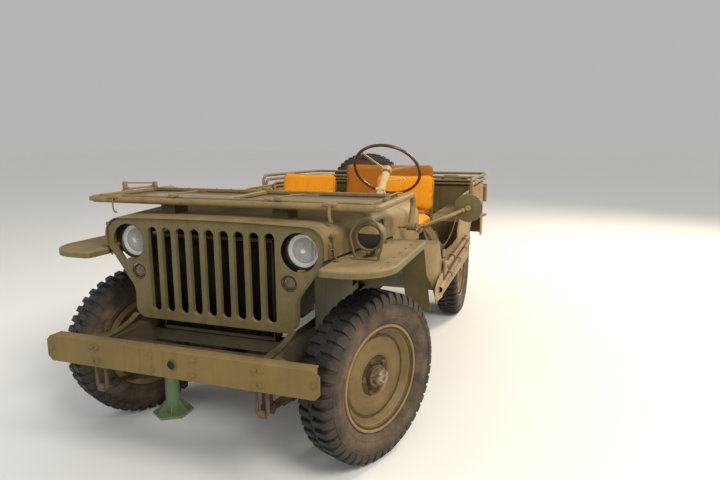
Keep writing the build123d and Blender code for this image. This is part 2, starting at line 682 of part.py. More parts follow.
def add_controls():
    """Dash, steering column and box, pedals and levers."""
    dash_rear = cowl_rear - 26
    half = cowl_half(dash_rear - sheet) - sheet / 2
    low, shoulder, top = hood_side_bottom, hood_top_rear - 74, hood_top_rear - 12
    dash = plate_y([(-half, low, 10), (half, low, 10), (half, shoulder, 0), (half - 65, top, 0),
                    (65 - half, top, 0), (-half, shoulder, 0)], dash_rear - sheet, dash_rear)
    parts["cowl"] += dash - column_body(column_radius + 3, 0, 1000) - parts["cowl"]
    shaft_z = link_height + pitman_reach
    box = block((pitman_x + 22, rail_outer - rail_width), (pitman_y - 44, pitman_y + 44),
                (shaft_z - 46, shaft_z + 46))
    box += block((pitman_x + 22, column_x + 26), (pitman_y - 44, pitman_y + 65), (rail_top, rail_top + 36))
    box += column_body(column_radius, 16, 850) + column_body(shaft_radius, 0, 20)
    box += round_x(pitman_x - 6, pitman_x + 30, pitman_y, shaft_z, 12)
    parts["steering_column"] = box
    slope = math.radians(column_angle)
    plane = Plane(origin=column_point(0), x_dir=(1, 0, 0), z_dir=(0, math.cos(slope), math.sin(slope)))
    ring = plane * Torus(steering_radius - 10, 10)
    hub = plane * Pos(0, 0, -4) * Cylinder(30, 20) - column_body(shaft_radius + bearing_gap, -0.5, 30)
    wheel = ring + hub
    for angle in (90, 210, 330):
        spoke = Rot(0, 0, angle) * Pos(steering_radius / 2, 0, 0) * Box(steering_radius - 24, 16, 6)
        wheel += plane * spoke
    parts["steering_wheel"] = wheel
    pedals = None
    for x in (250, 335, 430):
        pad = Pos(x, -470, 700) * Rot(40, 0, 0) * Box(64, 70, 8)
        stem = rod([(x, -476, 694), (x, -560, 620)], 7)
        piece = pad + stem
        pedals = piece if pedals is None else pedals + piece
    levers = rod([(30, -330, floor_z), (30, -250, 760), (30, -120, 940)], 8, 60) + Pos(30, -120,
                                                                                       940) * Sphere(20)
    for x in (-60, -110):
        levers += rod([(x, -300, floor_z), (x, -230, 800)], 7) + Pos(x, -230, 800) * Sphere(16)
    levers += plate_z([(-140, -360, 20), (70, -360, 20), (70, -270, 20), (-140, -270, 20)], floor_z,
                      floor_z + 12)
    under = plate_x([(firewall_y, toe_top_z, 0), (firewall_y, 0, 0), (toe_rear, 0, 0),
                     (toe_rear, floor_z, 0)], 0, 600)
    parts["pedals_levers"] = above(levers, floor_z) + (pedals - under)


def add_linkage():
    """Bellcrank on the axle, tie rods, drag link and drop arm."""
    level, pin_top = link_height - 22, link_height + 12
    x, y = bellcrank_x, front_axle_y
    post = round_z(hub_z + 10, pin_top, x, y, 14) + round_z(level - 8, level - bearing_gap, x, y, 26)
    parts["front_axle"] += post
    crank = round_z(level, level + 30, x, y, 28)
    ahead = plate_z([(x - 26, y, 0), (x + 26, y, 0), (x + arm_splay + 16, y - arm_reach - 16, 12),
                     (x - arm_splay - 16, y - arm_reach - 16, 12)], level, level + 14)
    across = plate_z([(x, y - 18, 0), (x + bellcrank_reach + 15, y - 15, 13),
                      (x + bellcrank_reach + 15, y + 15, 13),
                      (x, y + 18, 0)], level, level + 14)
    crank += ahead + across
    for dx, dy, rise in ((arm_splay, -arm_reach, 0), (-arm_splay, -arm_reach, 0), (bellcrank_reach, 0, 18)):
        crank += round_z(level, pin_top + rise, x + dx, y + dy, pin_radius)
    crank -= round_z(level - 1, level + 40, x, y, 14 + bearing_gap)
    parts["bellcrank"] = turn_about(crank, x, y, steer_at_rest)
    eye_low, eye_high = link_height - 7.5, link_height + 7.5
    for name, side in (("tie_rod_left", 1), ("tie_rod_right", -1)):
        start, end = at_rest(x + side * arm_splay, y - arm_reach, x), at_rest(
            side * (kingpin_x + arm_splay), y - arm_reach, side * kingpin_x)
        link = rod([(start[0], start[1], link_height), (end[0], end[1], link_height)], link_radius - 3)
        for px, py in (start, end):
            link += round_z(eye_low, eye_high, px, py, 16)
            link -= round_z(eye_low - 1, eye_high + 1, px, py, pin_radius + bearing_gap)
        parts[name] = link
    ball = pitman_ball()
    arm = round_x(pitman_x - 8, pitman_x + 8, pitman_y, link_height + pitman_reach, 24)
    arm += plate_x([(pitman_y - 18, link_height + pitman_reach, 0),
                    (pitman_y + 18, link_height + pitman_reach, 0),
                    (pitman_y + 12, link_height - 12, 11), (pitman_y - 12, link_height - 12, 11)],
                   pitman_x - 8, pitman_x + 8)
    arm += round_x(pitman_x - 36, pitman_x, pitman_y, link_height, pin_radius)
    arm -= round_x(pitman_x - 20, pitman_x + 40, pitman_y, link_height + pitman_reach, 12 + bearing_gap)
    parts["pitman_arm"] = Pos(0, pitman_y, link_height + pitman_reach) * Rot(-pitman_at_rest(), 0, 0) * Pos(
        0, -pitman_y, -link_height - pitman_reach) * arm
    eye = at_rest(x + bellcrank_reach, y, x)
    link_x = pitman_x - 24
    eye_z = link_height + eye_lift
    link = rod([(link_x, ball[0], ball[1]), (eye[0], eye[1], eye_z)], link_radius)
    link += round_x(link_x - 10, link_x + 10, ball[0], ball[1], 20)
    link -= round_x(link_x - 11, link_x + 11, ball[0], ball[1], pin_radius + bearing_gap)
    link -= round_z(eye_z - 40, eye_z + 40, eye[0], eye[1], eye_bore)
    ring = round_z(eye_z - 7, eye_z + 7, eye[0], eye[1], eye_bore + 10) - round_z(eye_z - 8, eye_z + 8,
                                                                                  eye[0], eye[1], eye_bore)
    parts["drag_link"] = link + ring


def at_rest(x, y, pivot_x):
    """Where a point of a steered piece lies at rest, from its straight-ahead place."""
    turn = math.radians(steer_at_rest)
    dx, dy = x - pivot_x, y - front_axle_y
    return (pivot_x + dx * math.cos(turn) - dy * math.sin(turn),
            front_axle_y + dx * math.sin(turn) + dy * math.cos(turn))


def pitman_at_rest():
    """The drop arm's swing at rest, positive when its lower end is forward."""
    return -steer_at_rest * bellcrank_reach / pitman_reach


def pitman_ball():
    """The drop arm's lower pin at rest, as (y, z)."""
    swing = math.radians(pitman_at_rest())
    return (pitman_y - pitman_reach * math.sin(swing), link_height + pitman_reach * (1 - math.cos(swing)))


def add_seats():
    """Front seats on tube frames, rear bench, and fuel tank under the driver's seat."""
    frames, cushions, backs = None, None, None
    back_foot_y = seat_back_y - 82
    back_low = cushion_z + cushion_thickness + 8
    rail_z = cushion_z - 11 - seat_gap

    def lean_y(z):
        slope = (seat_back_y + 14 - back_foot_y - 34) / (seat_top - back_low)
        return back_foot_y + 34 + slope * (z - back_low) + (11 + seat_gap) * math.hypot(1, slope)

    for side in (1, -1):
        centre = side * seat_x
        low, high = centre - seat_half_width, centre + seat_half_width
        frame = None
        for x in (low + 26, high - 26):
            loop = [(x, 20, floor_z), (x, 50, rail_z), (x, lean_y(rail_z), rail_z),
                    (x, lean_y(seat_top - 60), seat_top - 60)]
            bar = rod(loop, 11, 40)
            frame = bar if frame is None else frame + bar
        frame += round_x(low + 26, high - 26, lean_y(rail_z) - 50, rail_z, 9)
        frame += round_x(low + 26, high - 26, 90, rail_z, 9)
        frame += round_x(low + 26, high - 26, lean_y(seat_top - 60), seat_top - 60, 9)
        for x in (low + 26, high - 26):
            frame += rod([(x, lean_y(rail_z) - 40, rail_z), (x, lean_y(rail_z) - 60, floor_z)], 9)
        cushion = plate_z([(low, 40, 40), (high, 40, 40), (high, 40 + cushion_depth, 40),
                           (low, 40 + cushion_depth, 40)],
                          cushion_z, cushion_z + cushion_thickness)
        pad = plate_x([(back_foot_y - 26, back_low, 10), (back_foot_y + 34, back_low, 10),
                       (seat_back_y + 14, seat_top, 22),
                       (seat_back_y - 46, seat_top, 22)], low, high)
        pad &= plate_y([(low, back_low, 20), (high, back_low, 20), (high, seat_top, 60),
                        (low, seat_top, 60)],
                       back_foot_y - 60, seat_back_y + 60)
        frames = frame if frames is None else frames + frame
        cushions = cushion if cushions is None else cushions + cushion
        backs = pad if backs is None else backs + pad
    frames = above(frames, floor_z)
    half = rear_seat_half
    bench_z = 730.0
    bench_rail = bench_z - 11 - seat_gap
    bench_y = rear_seat_y - 420
    bench = plate_z([(-half, bench_y, 40), (half, bench_y, 40), (half, rear_seat_y - 60, 40),
                     (-half, rear_seat_y - 60, 40)],
                                         bench_z, bench_z + 70)
    pad = plate_x([(rear_seat_y - 70, 812, 15), (rear_seat_y - 10, 812, 15),
                   (rear_seat_y + 30, rear_seat_top, 25),
                   (rear_seat_y - 30, rear_seat_top, 25)], -half, half)
    pad &= plate_y([(-half, 812, 20), (half, 812, 20), (half, rear_seat_top, 50),
                    (-half, rear_seat_top, 50)],
                   rear_seat_y - 90, rear_seat_y + 60)
    frame = None
    for x in (-half + 40, half - 40):
        bar = rod([(x, bench_y + 40, floor_z), (x, bench_y + 40, bench_rail),
                   (x, rear_seat_y - 10.4, bench_rail), (x, rear_seat_y + 34, rear_seat_top - 60)], 11, 40)
        frame = bar if frame is None else frame + bar
        frame += round_z(floor_z, bench_rail, x, rear_seat_y - 60, 9)
    frame += round_x(-half + 40, half - 40, rear_seat_y + 34, rear_seat_top - 60, 9)
    frame += round_x(-half + 40, half - 40, bench_y + 90, bench_rail, 9)
    parts["seat_frames"] = frames + frame
    parts["seat_cushions"] = (cushions - frames) + (bench - frame)
    parts["seat_backs"] = (backs - frames) + (pad - frame)
    low, high = seat_x - seat_half_width + 47, seat_x + seat_half_width - 47
    tank = plate_z([(low, 100, 40), (high, 100, 40), (high, 380, 40), (low, 380, 40)], floor_z,
                   cushion_z - 40)
    parts["fuel_tank"] = tank


def add_windscreen():
    """Folded windscreen: bent outer tube, inner frame with divider, lower panel and two panes."""
    z, half, top = screen_plane_z, screen_half, screen_top_y
    path = [(half, screen_pivot_y, screen_pivot_z), (half, screen_bend_y, z), (half, top, z),
            (-half, top, z),
            (-half, screen_bend_y, z), (-half, screen_pivot_y, screen_pivot_z)]
    frame = rod(path, screen_tube, 45)
    inner = half - 26
    front, rear = top + 26, screen_base_y
    ring = block((-inner, inner), (front, rear), (z - 10, z + 10))
    for low, high in ((-inner + 20, -9), (9, inner - 20)):
        ring -= block((low, high), (front + 20, rear - 20), (z - 11, z + 11))
    frame += ring
    frame += block((-half, half), (rear - 20, rear), (z - 10, z + 10))
    frame += block((-half, half), (top, front + 20), (z - 9, z + 9))
    for side in (1, -1):
        frame += round_x(*sorted((side * (half - 15), side * (half + 15))), screen_pivot_y, screen_pivot_z,
                         18)
    for side in (1, -1):
        frame -= round_x(*sorted((side * (half - 16), side * (half + 16))), screen_pivot_y, screen_pivot_z,
                         8 + bearing_gap)
    parts["windscreen_frame"] = frame
    glass = None
    for low, high in ((-inner + 20, -9), (9, inner - 20)):
        pane = block((low, high), (front + 20, rear - 20),
                     (z - glass_thickness / 2, z + glass_thickness / 2))
        glass = pane if glass is None else glass + pane
    parts["windscreen_glass"] = glass
    pivots = None
    for side in (1, -1):
        start = cowl_half(screen_pivot_y) - sheet / 2
        pin = round_x(*sorted((side * start, side * (half + 24))), screen_pivot_y, screen_pivot_z, 8)
        pin += round_x(*sorted((side * (half + 15.4), side * (half + 26))), screen_pivot_y, screen_pivot_z,
                       17)
        pivots = pin if pivots is None else pivots + pin
    parts["cowl"] += pivots - parts["cowl"]


def add_outside():
    """Mirror, stowed bows, spare wheel, can, pioneer tools and the stands under the front axle."""
    base_x = cowl_half_rear + 1
    mirror_arm = rod([(base_x, cowl_rear - 13, 885), (base_x + 26, cowl_rear - 8, 892),
                      (mirror_x, mirror_y + 14, mirror_z)], 6, 12)
    mirror_arm += block((base_x - 1, base_x + 8), (cowl_rear - 24, cowl_rear - 2), (864, 902))
    disc = Pos(mirror_x, mirror_y, mirror_z) * Rot(0, 0,
                                                   90) * turned([(-9, 0), (-9, 30), (0, mirror_radius),
                                                                 (9, mirror_radius), (9, 0)])
    parts["mirror"] = (mirror_arm + disc) - parts["cowl"] - parts["body_side_left"]
    bows = None
    for step, drop in ((0, 0), (40, 34)):
        x, y, z, rear = bow_x, bow_y + step, bow_z - drop, bow_rear - drop
        path = [(x, y, 800), (x, y, z), (x, rear, z - 16), (-x, rear, z - 16), (-x, y, z), (-x, y, 800)]
        bow = rod(path, bow_radius, [50, 90, 90, 50])
        bows = bow if bows is None else bows + bow
    for side in (1, -1):
        low, high = sorted((side * body_half, side * (bow_x + 4)))
        for level in (830, 930):
            bows += block((low, high), (bow_y - 24, bow_y + 64), (level, level + 24))
    parts["top_bows"] = bows
    spare = Pos(spare_x, spare_y, spare_z) * Rot(0, 0, 90)
    parts["spare_tyre"] = spare * tyre_solid()
    parts["spare_wheel"] = spare * turned(wheel_rows)
    carrier = block((spare_x - 70, spare_x + 70), (body_rear, body_rear + 12), (spare_z - 90, spare_z + 90))
    carrier += round_y(body_rear, spare_y + 4, spare_x, spare_z, 38)
    carrier += round_y(spare_y - 10, spare_y + 3.7, spare_x, spare_z, 70)
    can_y = body_rear + 22
    can = plate_z([(can_x - 172, can_y, 40), (can_x + 172, can_y, 40), (can_x + 172, can_y + 165, 40),
                   (can_x - 172, can_y + 165, 40)], 600, 985)
    can += plate_x([(can_y + 40, 985, 0), (can_y + 125, 985, 0), (can_y + 115, 1020, 8),
                    (can_y + 50, 1020, 8)], can_x - 60, can_x + 60)
    can -= block((can_x - 50, can_x + 50), (can_y - 1, can_y + 170), (990, 1008))
    parts["fuel_can"] = can
    rack = block((can_x - 184, can_x + 184), (body_rear, can_y + 178), (594, 600))
    rack += block((can_x - 184, can_x + 184), (body_rear, body_rear + 8), (600, 900))
    rack += block((can_x - 184, can_x - 176), (body_rear, can_y + 178), (600, 680))
    rack += block((can_x + 176, can_x + 184), (body_rear, can_y + 178), (600, 680))
    rack += block((can_x - 184, can_x + 184), (can_y + 170, can_y + 178), (600, 680))
    parts["rear_carriers"] = carrier + rack
    x = body_half + 14
    tools = rod([(x, -330, 610), (x, 560, 640)], 13)
    blade = plate_x([(-330, 500, 40), (-330, 715, 40), (-560, 690, 30), (-600, 608, 20), (-560, 525, 30)],
                    x - 3, x + 2)
    tools += blade
    for y, z in ((-40, 620), (420, 635)):
        tools += block((body_half, x + 16), (y - 10, y + 10), (z - 22, z + 18))
    parts["shovel_axe"] = tools
    stand = None
    for side in (1, -1):
        x, y, top = side * stand_x, front_axle_y, hub_z - axle_tube_radius
        one = round_z(0, top, x, y, stand_post_radius) + round_z(top - 14, top, x, y, stand_post_radius + 5)
        one += Pos(x, y, 0) * Rot(0, 0, 30) * extrude(RegularPolygon(stand_foot_radius, 6), 12)
        reach = 0.8 * stand_foot_radius
        rib = plate_y([(20, 12, 0), (reach, 12, 0), (reach, 18, 0), (38, 66, 0), (20, 66, 0)], -3, 3)
        for turn in range(6):
            one += Pos(x, y, 0) * Rot(0, 0, 60 * turn) * rib
        stand = one if stand is None else stand + one
    parts["axle_stands"] = stand - parts["front_axle"]


def export_all():
    """Move the car so that its outer box stands centred on the origin, and write each node."""
    outer_left = mirror_x + mirror_radius
    outer_right = bow_x + bow_radius
    shift_x = (outer_right - outer_left) / 2
    outer_rear = spare_y + tyre_half_width
    shift_y = -(bumper_front + outer_rear) / 2
    os.makedirs("parts", exist_ok=True)
    for name, shape in parts.items():
        export_step(Pos(shift_x, shift_y, 0) * shape, f"parts/{name}.step")
    print("shift", round(shift_x, 3), round(shift_y, 3))


add_wheels()
add_knuckles()
add_axles()
add_springs()
add_frame()
add_bumpers()
add_power_train()
add_tub()
add_front_metal()
add_lamps()
add_fenders()
add_controls()
add_linkage()
add_seats()
add_windscreen()
add_outside()
export_all()
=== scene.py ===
import json
import math

import bmesh
import bpy
from mathutils import Matrix, Vector
from mathutils.bvhtree import BVHTree


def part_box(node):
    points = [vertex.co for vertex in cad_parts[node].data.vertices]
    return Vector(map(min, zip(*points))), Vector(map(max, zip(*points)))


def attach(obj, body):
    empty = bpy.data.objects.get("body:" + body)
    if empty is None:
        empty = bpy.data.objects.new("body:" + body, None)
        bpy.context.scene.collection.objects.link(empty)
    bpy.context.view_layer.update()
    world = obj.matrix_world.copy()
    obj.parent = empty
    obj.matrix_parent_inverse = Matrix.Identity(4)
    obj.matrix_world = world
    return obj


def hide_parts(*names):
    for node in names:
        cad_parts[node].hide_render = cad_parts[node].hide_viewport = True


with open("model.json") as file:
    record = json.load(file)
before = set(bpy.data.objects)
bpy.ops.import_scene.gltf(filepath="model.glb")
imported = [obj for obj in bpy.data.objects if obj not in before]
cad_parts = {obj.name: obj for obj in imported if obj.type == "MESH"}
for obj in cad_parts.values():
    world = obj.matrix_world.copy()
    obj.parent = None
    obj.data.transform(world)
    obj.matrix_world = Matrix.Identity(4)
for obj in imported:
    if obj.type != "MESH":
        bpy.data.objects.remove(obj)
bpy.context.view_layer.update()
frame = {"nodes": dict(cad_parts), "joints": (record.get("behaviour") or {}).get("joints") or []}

bl_info = {
    "name": "Army 4x4 Car",
    "version": (1, 0, 0),
    "blender": (4, 5, 0),
    "location": "View3D > Sidebar > Army Car",
    "description": "Dresses the packed frame of an open army 4x4 car",
    "category": "Add Mesh",
}

LOOKS = {}
joints = {joint["name"]: joint for joint in frame["joints"]}


def joint_point(name):
    return Vector(joints[name]["pos_m"])


MID_X = (joint_point("kingpin_left").x + joint_point("kingpin_right").x) / 2
MID_Y = (joint_point("kingpin_left").y + joint_point("rear_left_spin").y) / 2
CAR = Matrix.Translation((MID_X, MID_Y, 0)) @ Matrix.Scale(0.001, 4)


def at(x, y, z):
    """A place in metres from millimetres on the car: +X its left, +Y its rear, +Z up from the ground."""
    return CAR @ Vector((x, y, z))


def wheel_place(centre, outward):
    """Turns a form made about X, outward, into one about a wheel's axle."""
    outward = Vector(outward).normalized()
    up = Vector((0, 0, 1))
    back = up.cross(outward)
    turn = Matrix((outward, back, up)).transposed().to_4x4()
    return Matrix.Translation(centre) @ turn @ Matrix.Scale(0.001, 4)


WHEELS = {}
for corner in ("front_left", "front_right", "rear_left", "rear_right"):
    axle = Vector(joints[corner + "_spin"]["axis"])
    WHEELS[corner] = (wheel_place(joint_point(corner + "_spin"), axle if "left" in corner else -axle),
                      "road_wheel_" + corner)
spare_low, spare_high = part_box("spare_wheel")
SPARE = (wheel_place((spare_low + spare_high) / 2, (0, 1, 0)), "root")


# Sizes and colours

def length(label, text, value):
    return bpy.props.FloatProperty(name=label, description=text, default=value, unit="LENGTH")


def colour(label, text, value):
    return bpy.props.FloatVectorProperty(name=label, description=text, default=value, subtype="COLOR", size=3,
                                         min=0, max=1)


class ArmyCarSizes(bpy.types.PropertyGroup):
    """Sizes of the fine parts, in metres."""
    lug_count: bpy.props.IntProperty(name="Tread lugs", description="Tread lugs on each side of a tyre",
                                     default=46, min=8)
    lug_width: length("Lug width", "Width of a lug along the tread", 0.026)
    nut_size: length("Wheel nut", "Width of a wheel nut across its corners", 0.025)
    bolt_size: length("Bolt head", "Width of a body bolt's head", 0.015)
    rivet_size: length("Rivet", "Width of a rivet's head", 0.010)
    fin_pitch: length("Fin pitch", "Step between the radiator's fins", 0.0065)
    cloth_step: length("Cloth step", "Mesh step of the seat covers before they swell", 0.0058)
    seam_size: length("Seam", "Thickness of a seam's welt", 0.005)


class ArmyCarColours(bpy.types.PropertyGroup):
    """Main colours."""
    paint: colour("Body paint", "Olive drab paint of the body", (0.128, 0.102, 0.040))
    # Painted highlight: this paler paint stands for the warm spotlight on the cowl and the body sides. The
    # tan and tool paints are mixed from it.
    spotlit_tone: colour("Cowl paint", "Spotlit paint of the cowl and the body sides",
                       (0.330, 0.220, 0.088))
    dust: colour("Dust", "Dry road dust", (0.310, 0.220, 0.112))
    chassis: colour("Chassis paint", "Dark paint under the car", (0.050, 0.038, 0.020))
    bumper: colour("Bumper paint", "Brownish olive paint of the front bumper", (0.178, 0.120, 0.036))
    rubber: colour("Rubber", "Tyre rubber", (0.014, 0.013, 0.012))
    mud: colour("Dried mud", "Brown dust on the tyre walls", (0.125, 0.084, 0.050))
    wheel: colour("Wheel paint", "Dusty paint of the wheels", (0.165, 0.108, 0.038))
    rust: colour("Rust", "Rust on hubs and bare iron", (0.085, 0.042, 0.022))
    iron: colour("Bare iron", "Rubbed iron and steel", (0.30, 0.28, 0.26))
    # Painted shadow: the rear bench's canvas is the seats' canvas made darker and browner for the shade it
    # sits in.
    painted_shadow_canvas: colour("Rear canvas", "Shadowed canvas of the rear bench", (0.480, 0.165, 0.010))
    canvas: colour("Canvas", "Mustard canvas of the seats", (0.920, 0.340, 0.008))
    moulded_rim: colour("Steering wheel rim", "Dark brown moulded rim", (0.085, 0.024, 0.009))
    cream: colour("Cream enamel", "Cream enamel of the steering wheel's spokes", (0.640, 0.500, 0.250))
    stand: colour("Stand enamel", "Pale green enamel of the stands", (0.165, 0.235, 0.125))
    timber: colour("Timber", "Tool handles and blocks", (0.300, 0.170, 0.075))
    floor: colour("Floor", "Plain floor under the car", (0.780, 0.775, 0.760))


# Forms

class Form:
    """Closed surfaces gathered for one piece, in millimetres."""

    def __init__(self):
        self.mesh = bmesh.new()

    def take(self, part, look=0, turn=None):
        """Adds a part, turned and placed, with its own material number."""
        if turn is not None:
            part.transform(turn)
        bmesh.ops.recalc_face_normals(part, faces=part.faces[:])
        for face in part.faces:
            face.material_index, face.smooth = look, True
        passing = bpy.data.meshes.new("passing")
        part.to_mesh(passing)
        part.free()
        self.mesh.from_mesh(passing)
        bpy.data.meshes.remove(passing)

    def block(self, low, high, edge=1.5, look=0, turn=None):
        self.take(block_part(low, high, edge), look, turn)

    def lathe(self, rows, sides=48, closed=False, look=0, turn=None):
        self.take(lathe_part(rows, sides, closed), look, turn)

    def tube(self, points, radius, sides=12, bend=0.0, closed=False, look=0, turn=None):
        self.take(sweep_part(points, circle(radius, sides), bend, closed), look, turn)

    def strip(self, points, section, bend=0.0, up=(0, 0, 1)):
        self.take(sweep_part(points, section, bend, up=up))

    def slab(self, outline, thickness, edge=1.0, look=0, turn=None):
        self.take(slab_part(outline, thickness, edge), look, turn)

    def plain_mesh(self, name, place=None):
        """The gathered surfaces as a placed mesh, which uses the form up."""
        mesh = bpy.data.meshes.new(name)
        self.mesh.to_mesh(mesh)
        self.mesh.free()
        if place is not None:
            mesh.transform(place)
        return mesh


def skin(rows, around=True, along=False):
    """A surface through rows of points; around closes each row, along joins the last row to the first."""
    part = bmesh.new()
    grid = [[part.verts.new(point) for point in row] for row in rows]
    count = len(grid[0])
    pairs = list(zip(grid, grid[1:]))
    if along:
        pairs.append((grid[-1], grid[0]))
    for one, two in pairs:
        for i in range(count if around else count - 1):
            j = (i + 1) % count
            part.faces.new((one[i], one[j], two[j], two[i]))
    if around and not along:
        part.faces.new(grid[0][::-1])
        part.faces.new(grid[-1])
    bmesh.ops.remove_doubles(part, verts=part.verts[:], dist=0.01)
    return part


def block_part(low, high, edge=1.5):
    """A block between two corners with rounded edges."""
    low, high = Vector(low), Vector(high)
    part = bmesh.new()
    bmesh.ops.create_cube(part, size=1)
    size = high - low
    for vert in part.verts:
        vert.co = low + Vector(((vert.co[i] + 0.5) * size[i] for i in range(3)))
    edge = min(edge, 0.45 * min(size))
    if edge > 0:
        bmesh.ops.bevel(part, geom=part.edges[:], offset=edge, segments=2, affect="EDGES", profile=0.5)
    return part


def lathe_part(rows, sides=48, closed=False):
    """A turned form about X from rows of (x, radius)."""
    turns = []
    for i in range(sides):
        angle = 2 * math.pi * i / sides
        turns.append([(x, radius * math.sin(angle), radius * math.cos(angle)) for x, radius in rows])
    return skin(turns, around=closed, along=True)


def circle(radius, sides=12):
    angles = [2 * math.pi * i / sides for i in range(sides)]
    return [(radius * math.cos(angle), radius * math.sin(angle)) for angle in angles]


def oblong(half, low, high):
    """The section of a flat bar or strap: half its width to each side, and its two faces."""
    return [(-half, low), (half, low), (half, high), (-half, high)]


CORNER_STEPS = 6


def round_cornered(half_width, half_depth, radius):
    """Points round a rectangle with round corners."""
    points = []
    for quarter, (sx, sy) in enumerate(((1, 1), (-1, 1), (-1, -1), (1, -1))):
        for step in range(CORNER_STEPS + 1):
            angle = math.pi / 2 * (quarter + step / CORNER_STEPS)
            points.append((sx * (half_width - radius) + radius * math.cos(angle),
                           sy * (half_depth - radius) + radius * math.sin(angle)))
    return points


ALL_BUT_STRAIGHT = 1.55


def rounded(points, bend):
    """The path with an arc at each inner corner that isn't all but straight."""
    points = [Vector(point) for point in points]
    path = [points[0]]
    for before, corner_point, after in zip(points, points[1:], points[2:]):
        one, two = before - corner_point, after - corner_point
        half = one.angle(two) / 2
        if half > ALL_BUT_STRAIGHT:
            continue
        reach = min(bend / math.tan(half), 0.49 * one.length, 0.49 * two.length)
        one.normalize()
        two.normalize()
        centre = corner_point + (one + two).normalized() * (reach / math.cos(half))
        start, end = corner_point + one * reach - centre, corner_point + two * reach - centre
        for step in range(CORNER_STEPS + 1):
            path.append(centre + start.lerp(end, step / CORNER_STEPS).normalized() * start.length)
    return path + [points[-1]]


def sweep_part(points, section, bend=0.0, closed=False, up=None):
    """A section carried along a path."""
    path = rounded(points, bend) if bend else [Vector(point) for point in points]
    count = len(path)
    tangents = []
    for i in range(count):
        before = path[i - 1] if closed or i else path[i]
        after = path[(i + 1) % count] if closed or i < count - 1 else path[i]
        tangents.append((after - before).normalized())
    side = Vector(up) if up else (Vector((0, 0, 1)) if abs(tangents[0].z) < 0.9 else Vector((1, 0, 0)))
    rows = []
    for point, tangent in zip(path, tangents):
        side = (side - tangent * side.dot(tangent)).normalized()
        other = tangent.cross(side)
        rows.append([point + other * a + side * b for a, b in section])
    return skin(rows, along=closed)


def slab_part(outline, thickness, edge=1.0):
    """A plate from (x, y) points, standing from z = 0 up."""
    part = bmesh.new()
    face = part.faces.new([part.verts.new((x, y, 0)) for x, y in outline])
    raised = bmesh.ops.extrude_face_region(part, geom=[face])
    top = [item for item in raised["geom"] if isinstance(item, bmesh.types.BMVert)]
    bmesh.ops.translate(part, verts=top, vec=(0, 0, thickness))
    bmesh.ops.recalc_face_normals(part, faces=part.faces[:])
    if edge > 0:
        bmesh.ops.bevel(part, geom=part.edges[:], offset=edge, segments=1, affect="EDGES", profile=0.5)
    return part


def standing(x, y, z, along, up=(0, 0, 1)):
    """Turns a slab's or a lathe's own axes into given ones at a place on the car."""
    along, up = Vector(along).normalized(), Vector(up).normalized()
    return Matrix.Translation((x, y, z)) @ Matrix((along, up.cross(along), up)).transposed().to_4x4()


def upright(x, y, z):
    """A lathe's X axis turned straight up."""
    return standing(x, y, z, (0, 0, 1), (1, 0, 0))


def forward(x, y, z):
    """A lathe's X axis turned to the front of the car."""
    return standing(x, y, z, (0, -1, 0))


def rearward(x, y, z):
    """A lathe's X axis turned to the rear of the car."""
    return standing(x, y, z, (0, 1, 0))


FACING_SIDE = Matrix(((0, 0, 1, 0), (1, 0, 0, 0), (0, 1, 0, 0), (0, 0, 0, 1)))
FACING_FRONT = Matrix(((1, 0, 0, 0), (0, 0, 1, 0), (0, 1, 0, 0), (0, 0, 0, 1)))


def shade(mesh, angle=36):
    """Smooth faces with sharp edges where they meet at more than an angle."""
    mesh.polygons.foreach_set("use_smooth", [True] * len(mesh.polygons))
    mesh.set_sharp_from_angle(angle=math.radians(angle))


def new_piece(name, mesh, body, looks, replaces=()):
    """A finished piece at the origin, riding on a body."""
    piece = bpy.data.objects.new(name, mesh)
    bpy.context.scene.collection.objects.link(piece)
    for look in looks:
        mesh.materials.append(LOOKS[look])
    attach(piece, body)
    if replaces:
        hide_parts(*replaces)
    return piece


def finish_form(form, name, body, looks, place=CAR, replaces=()):
    mesh = form.plain_mesh(name, place)
    shade(mesh)
    return new_piece(name, mesh, body, looks, replaces)


# Geometry Nodes for what repeats

def new_holder(name, mesh):
    holder = bpy.data.objects.new(name, mesh)
    bpy.context.scene.collection.objects.link(holder)
    return holder


def evaluated_mesh(holder):
    graph = bpy.context.evaluated_depsgraph_get()
    return bpy.data.meshes.new_from_object(holder.evaluated_get(graph), depsgraph=graph)


def new_tree(name, sockets):
    tree = bpy.data.node_groups.new(name, "GeometryNodeTree")
    tree.interface.new_socket("Geometry", in_out="INPUT", socket_type="NodeSocketGeometry")
    for label, kind in sockets:
        tree.interface.new_socket(label, in_out="INPUT", socket_type="NodeSocket" + kind)
    tree.interface.new_socket("Geometry", in_out="OUTPUT", socket_type="NodeSocketGeometry")
    return tree, tree.nodes.new("NodeGroupInput"), tree.nodes.new("NodeGroupOutput")


def feed(node, values):
    """Sets a node's inputs, or links those that are given a socket."""
    for key, value in dict(values).items():
        if isinstance(value, bpy.types.NodeSocket):
            node.id_data.links.new(value, node.inputs[key])
        else:
            node.inputs[key].default_value = value
    return node


def put(tree, kind, values=(), **settings):
    """A node with its settings, and its inputs set or linked."""
    node = tree.nodes.new(kind)
    for key, value in settings.items():
        setattr(node, key, value)
    return feed(node, values)


def close_tree(tree, ins, outs, instances):
    real = put(tree, "GeometryNodeRealizeInstances", {"Geometry": instances})
    dressed = put(tree, "GeometryNodeSetMaterial",
                  {"Geometry": real.outputs[0], "Material": ins.outputs["Material"]})
    tree.links.new(dressed.outputs[0], outs.inputs["Geometry"])
    return tree


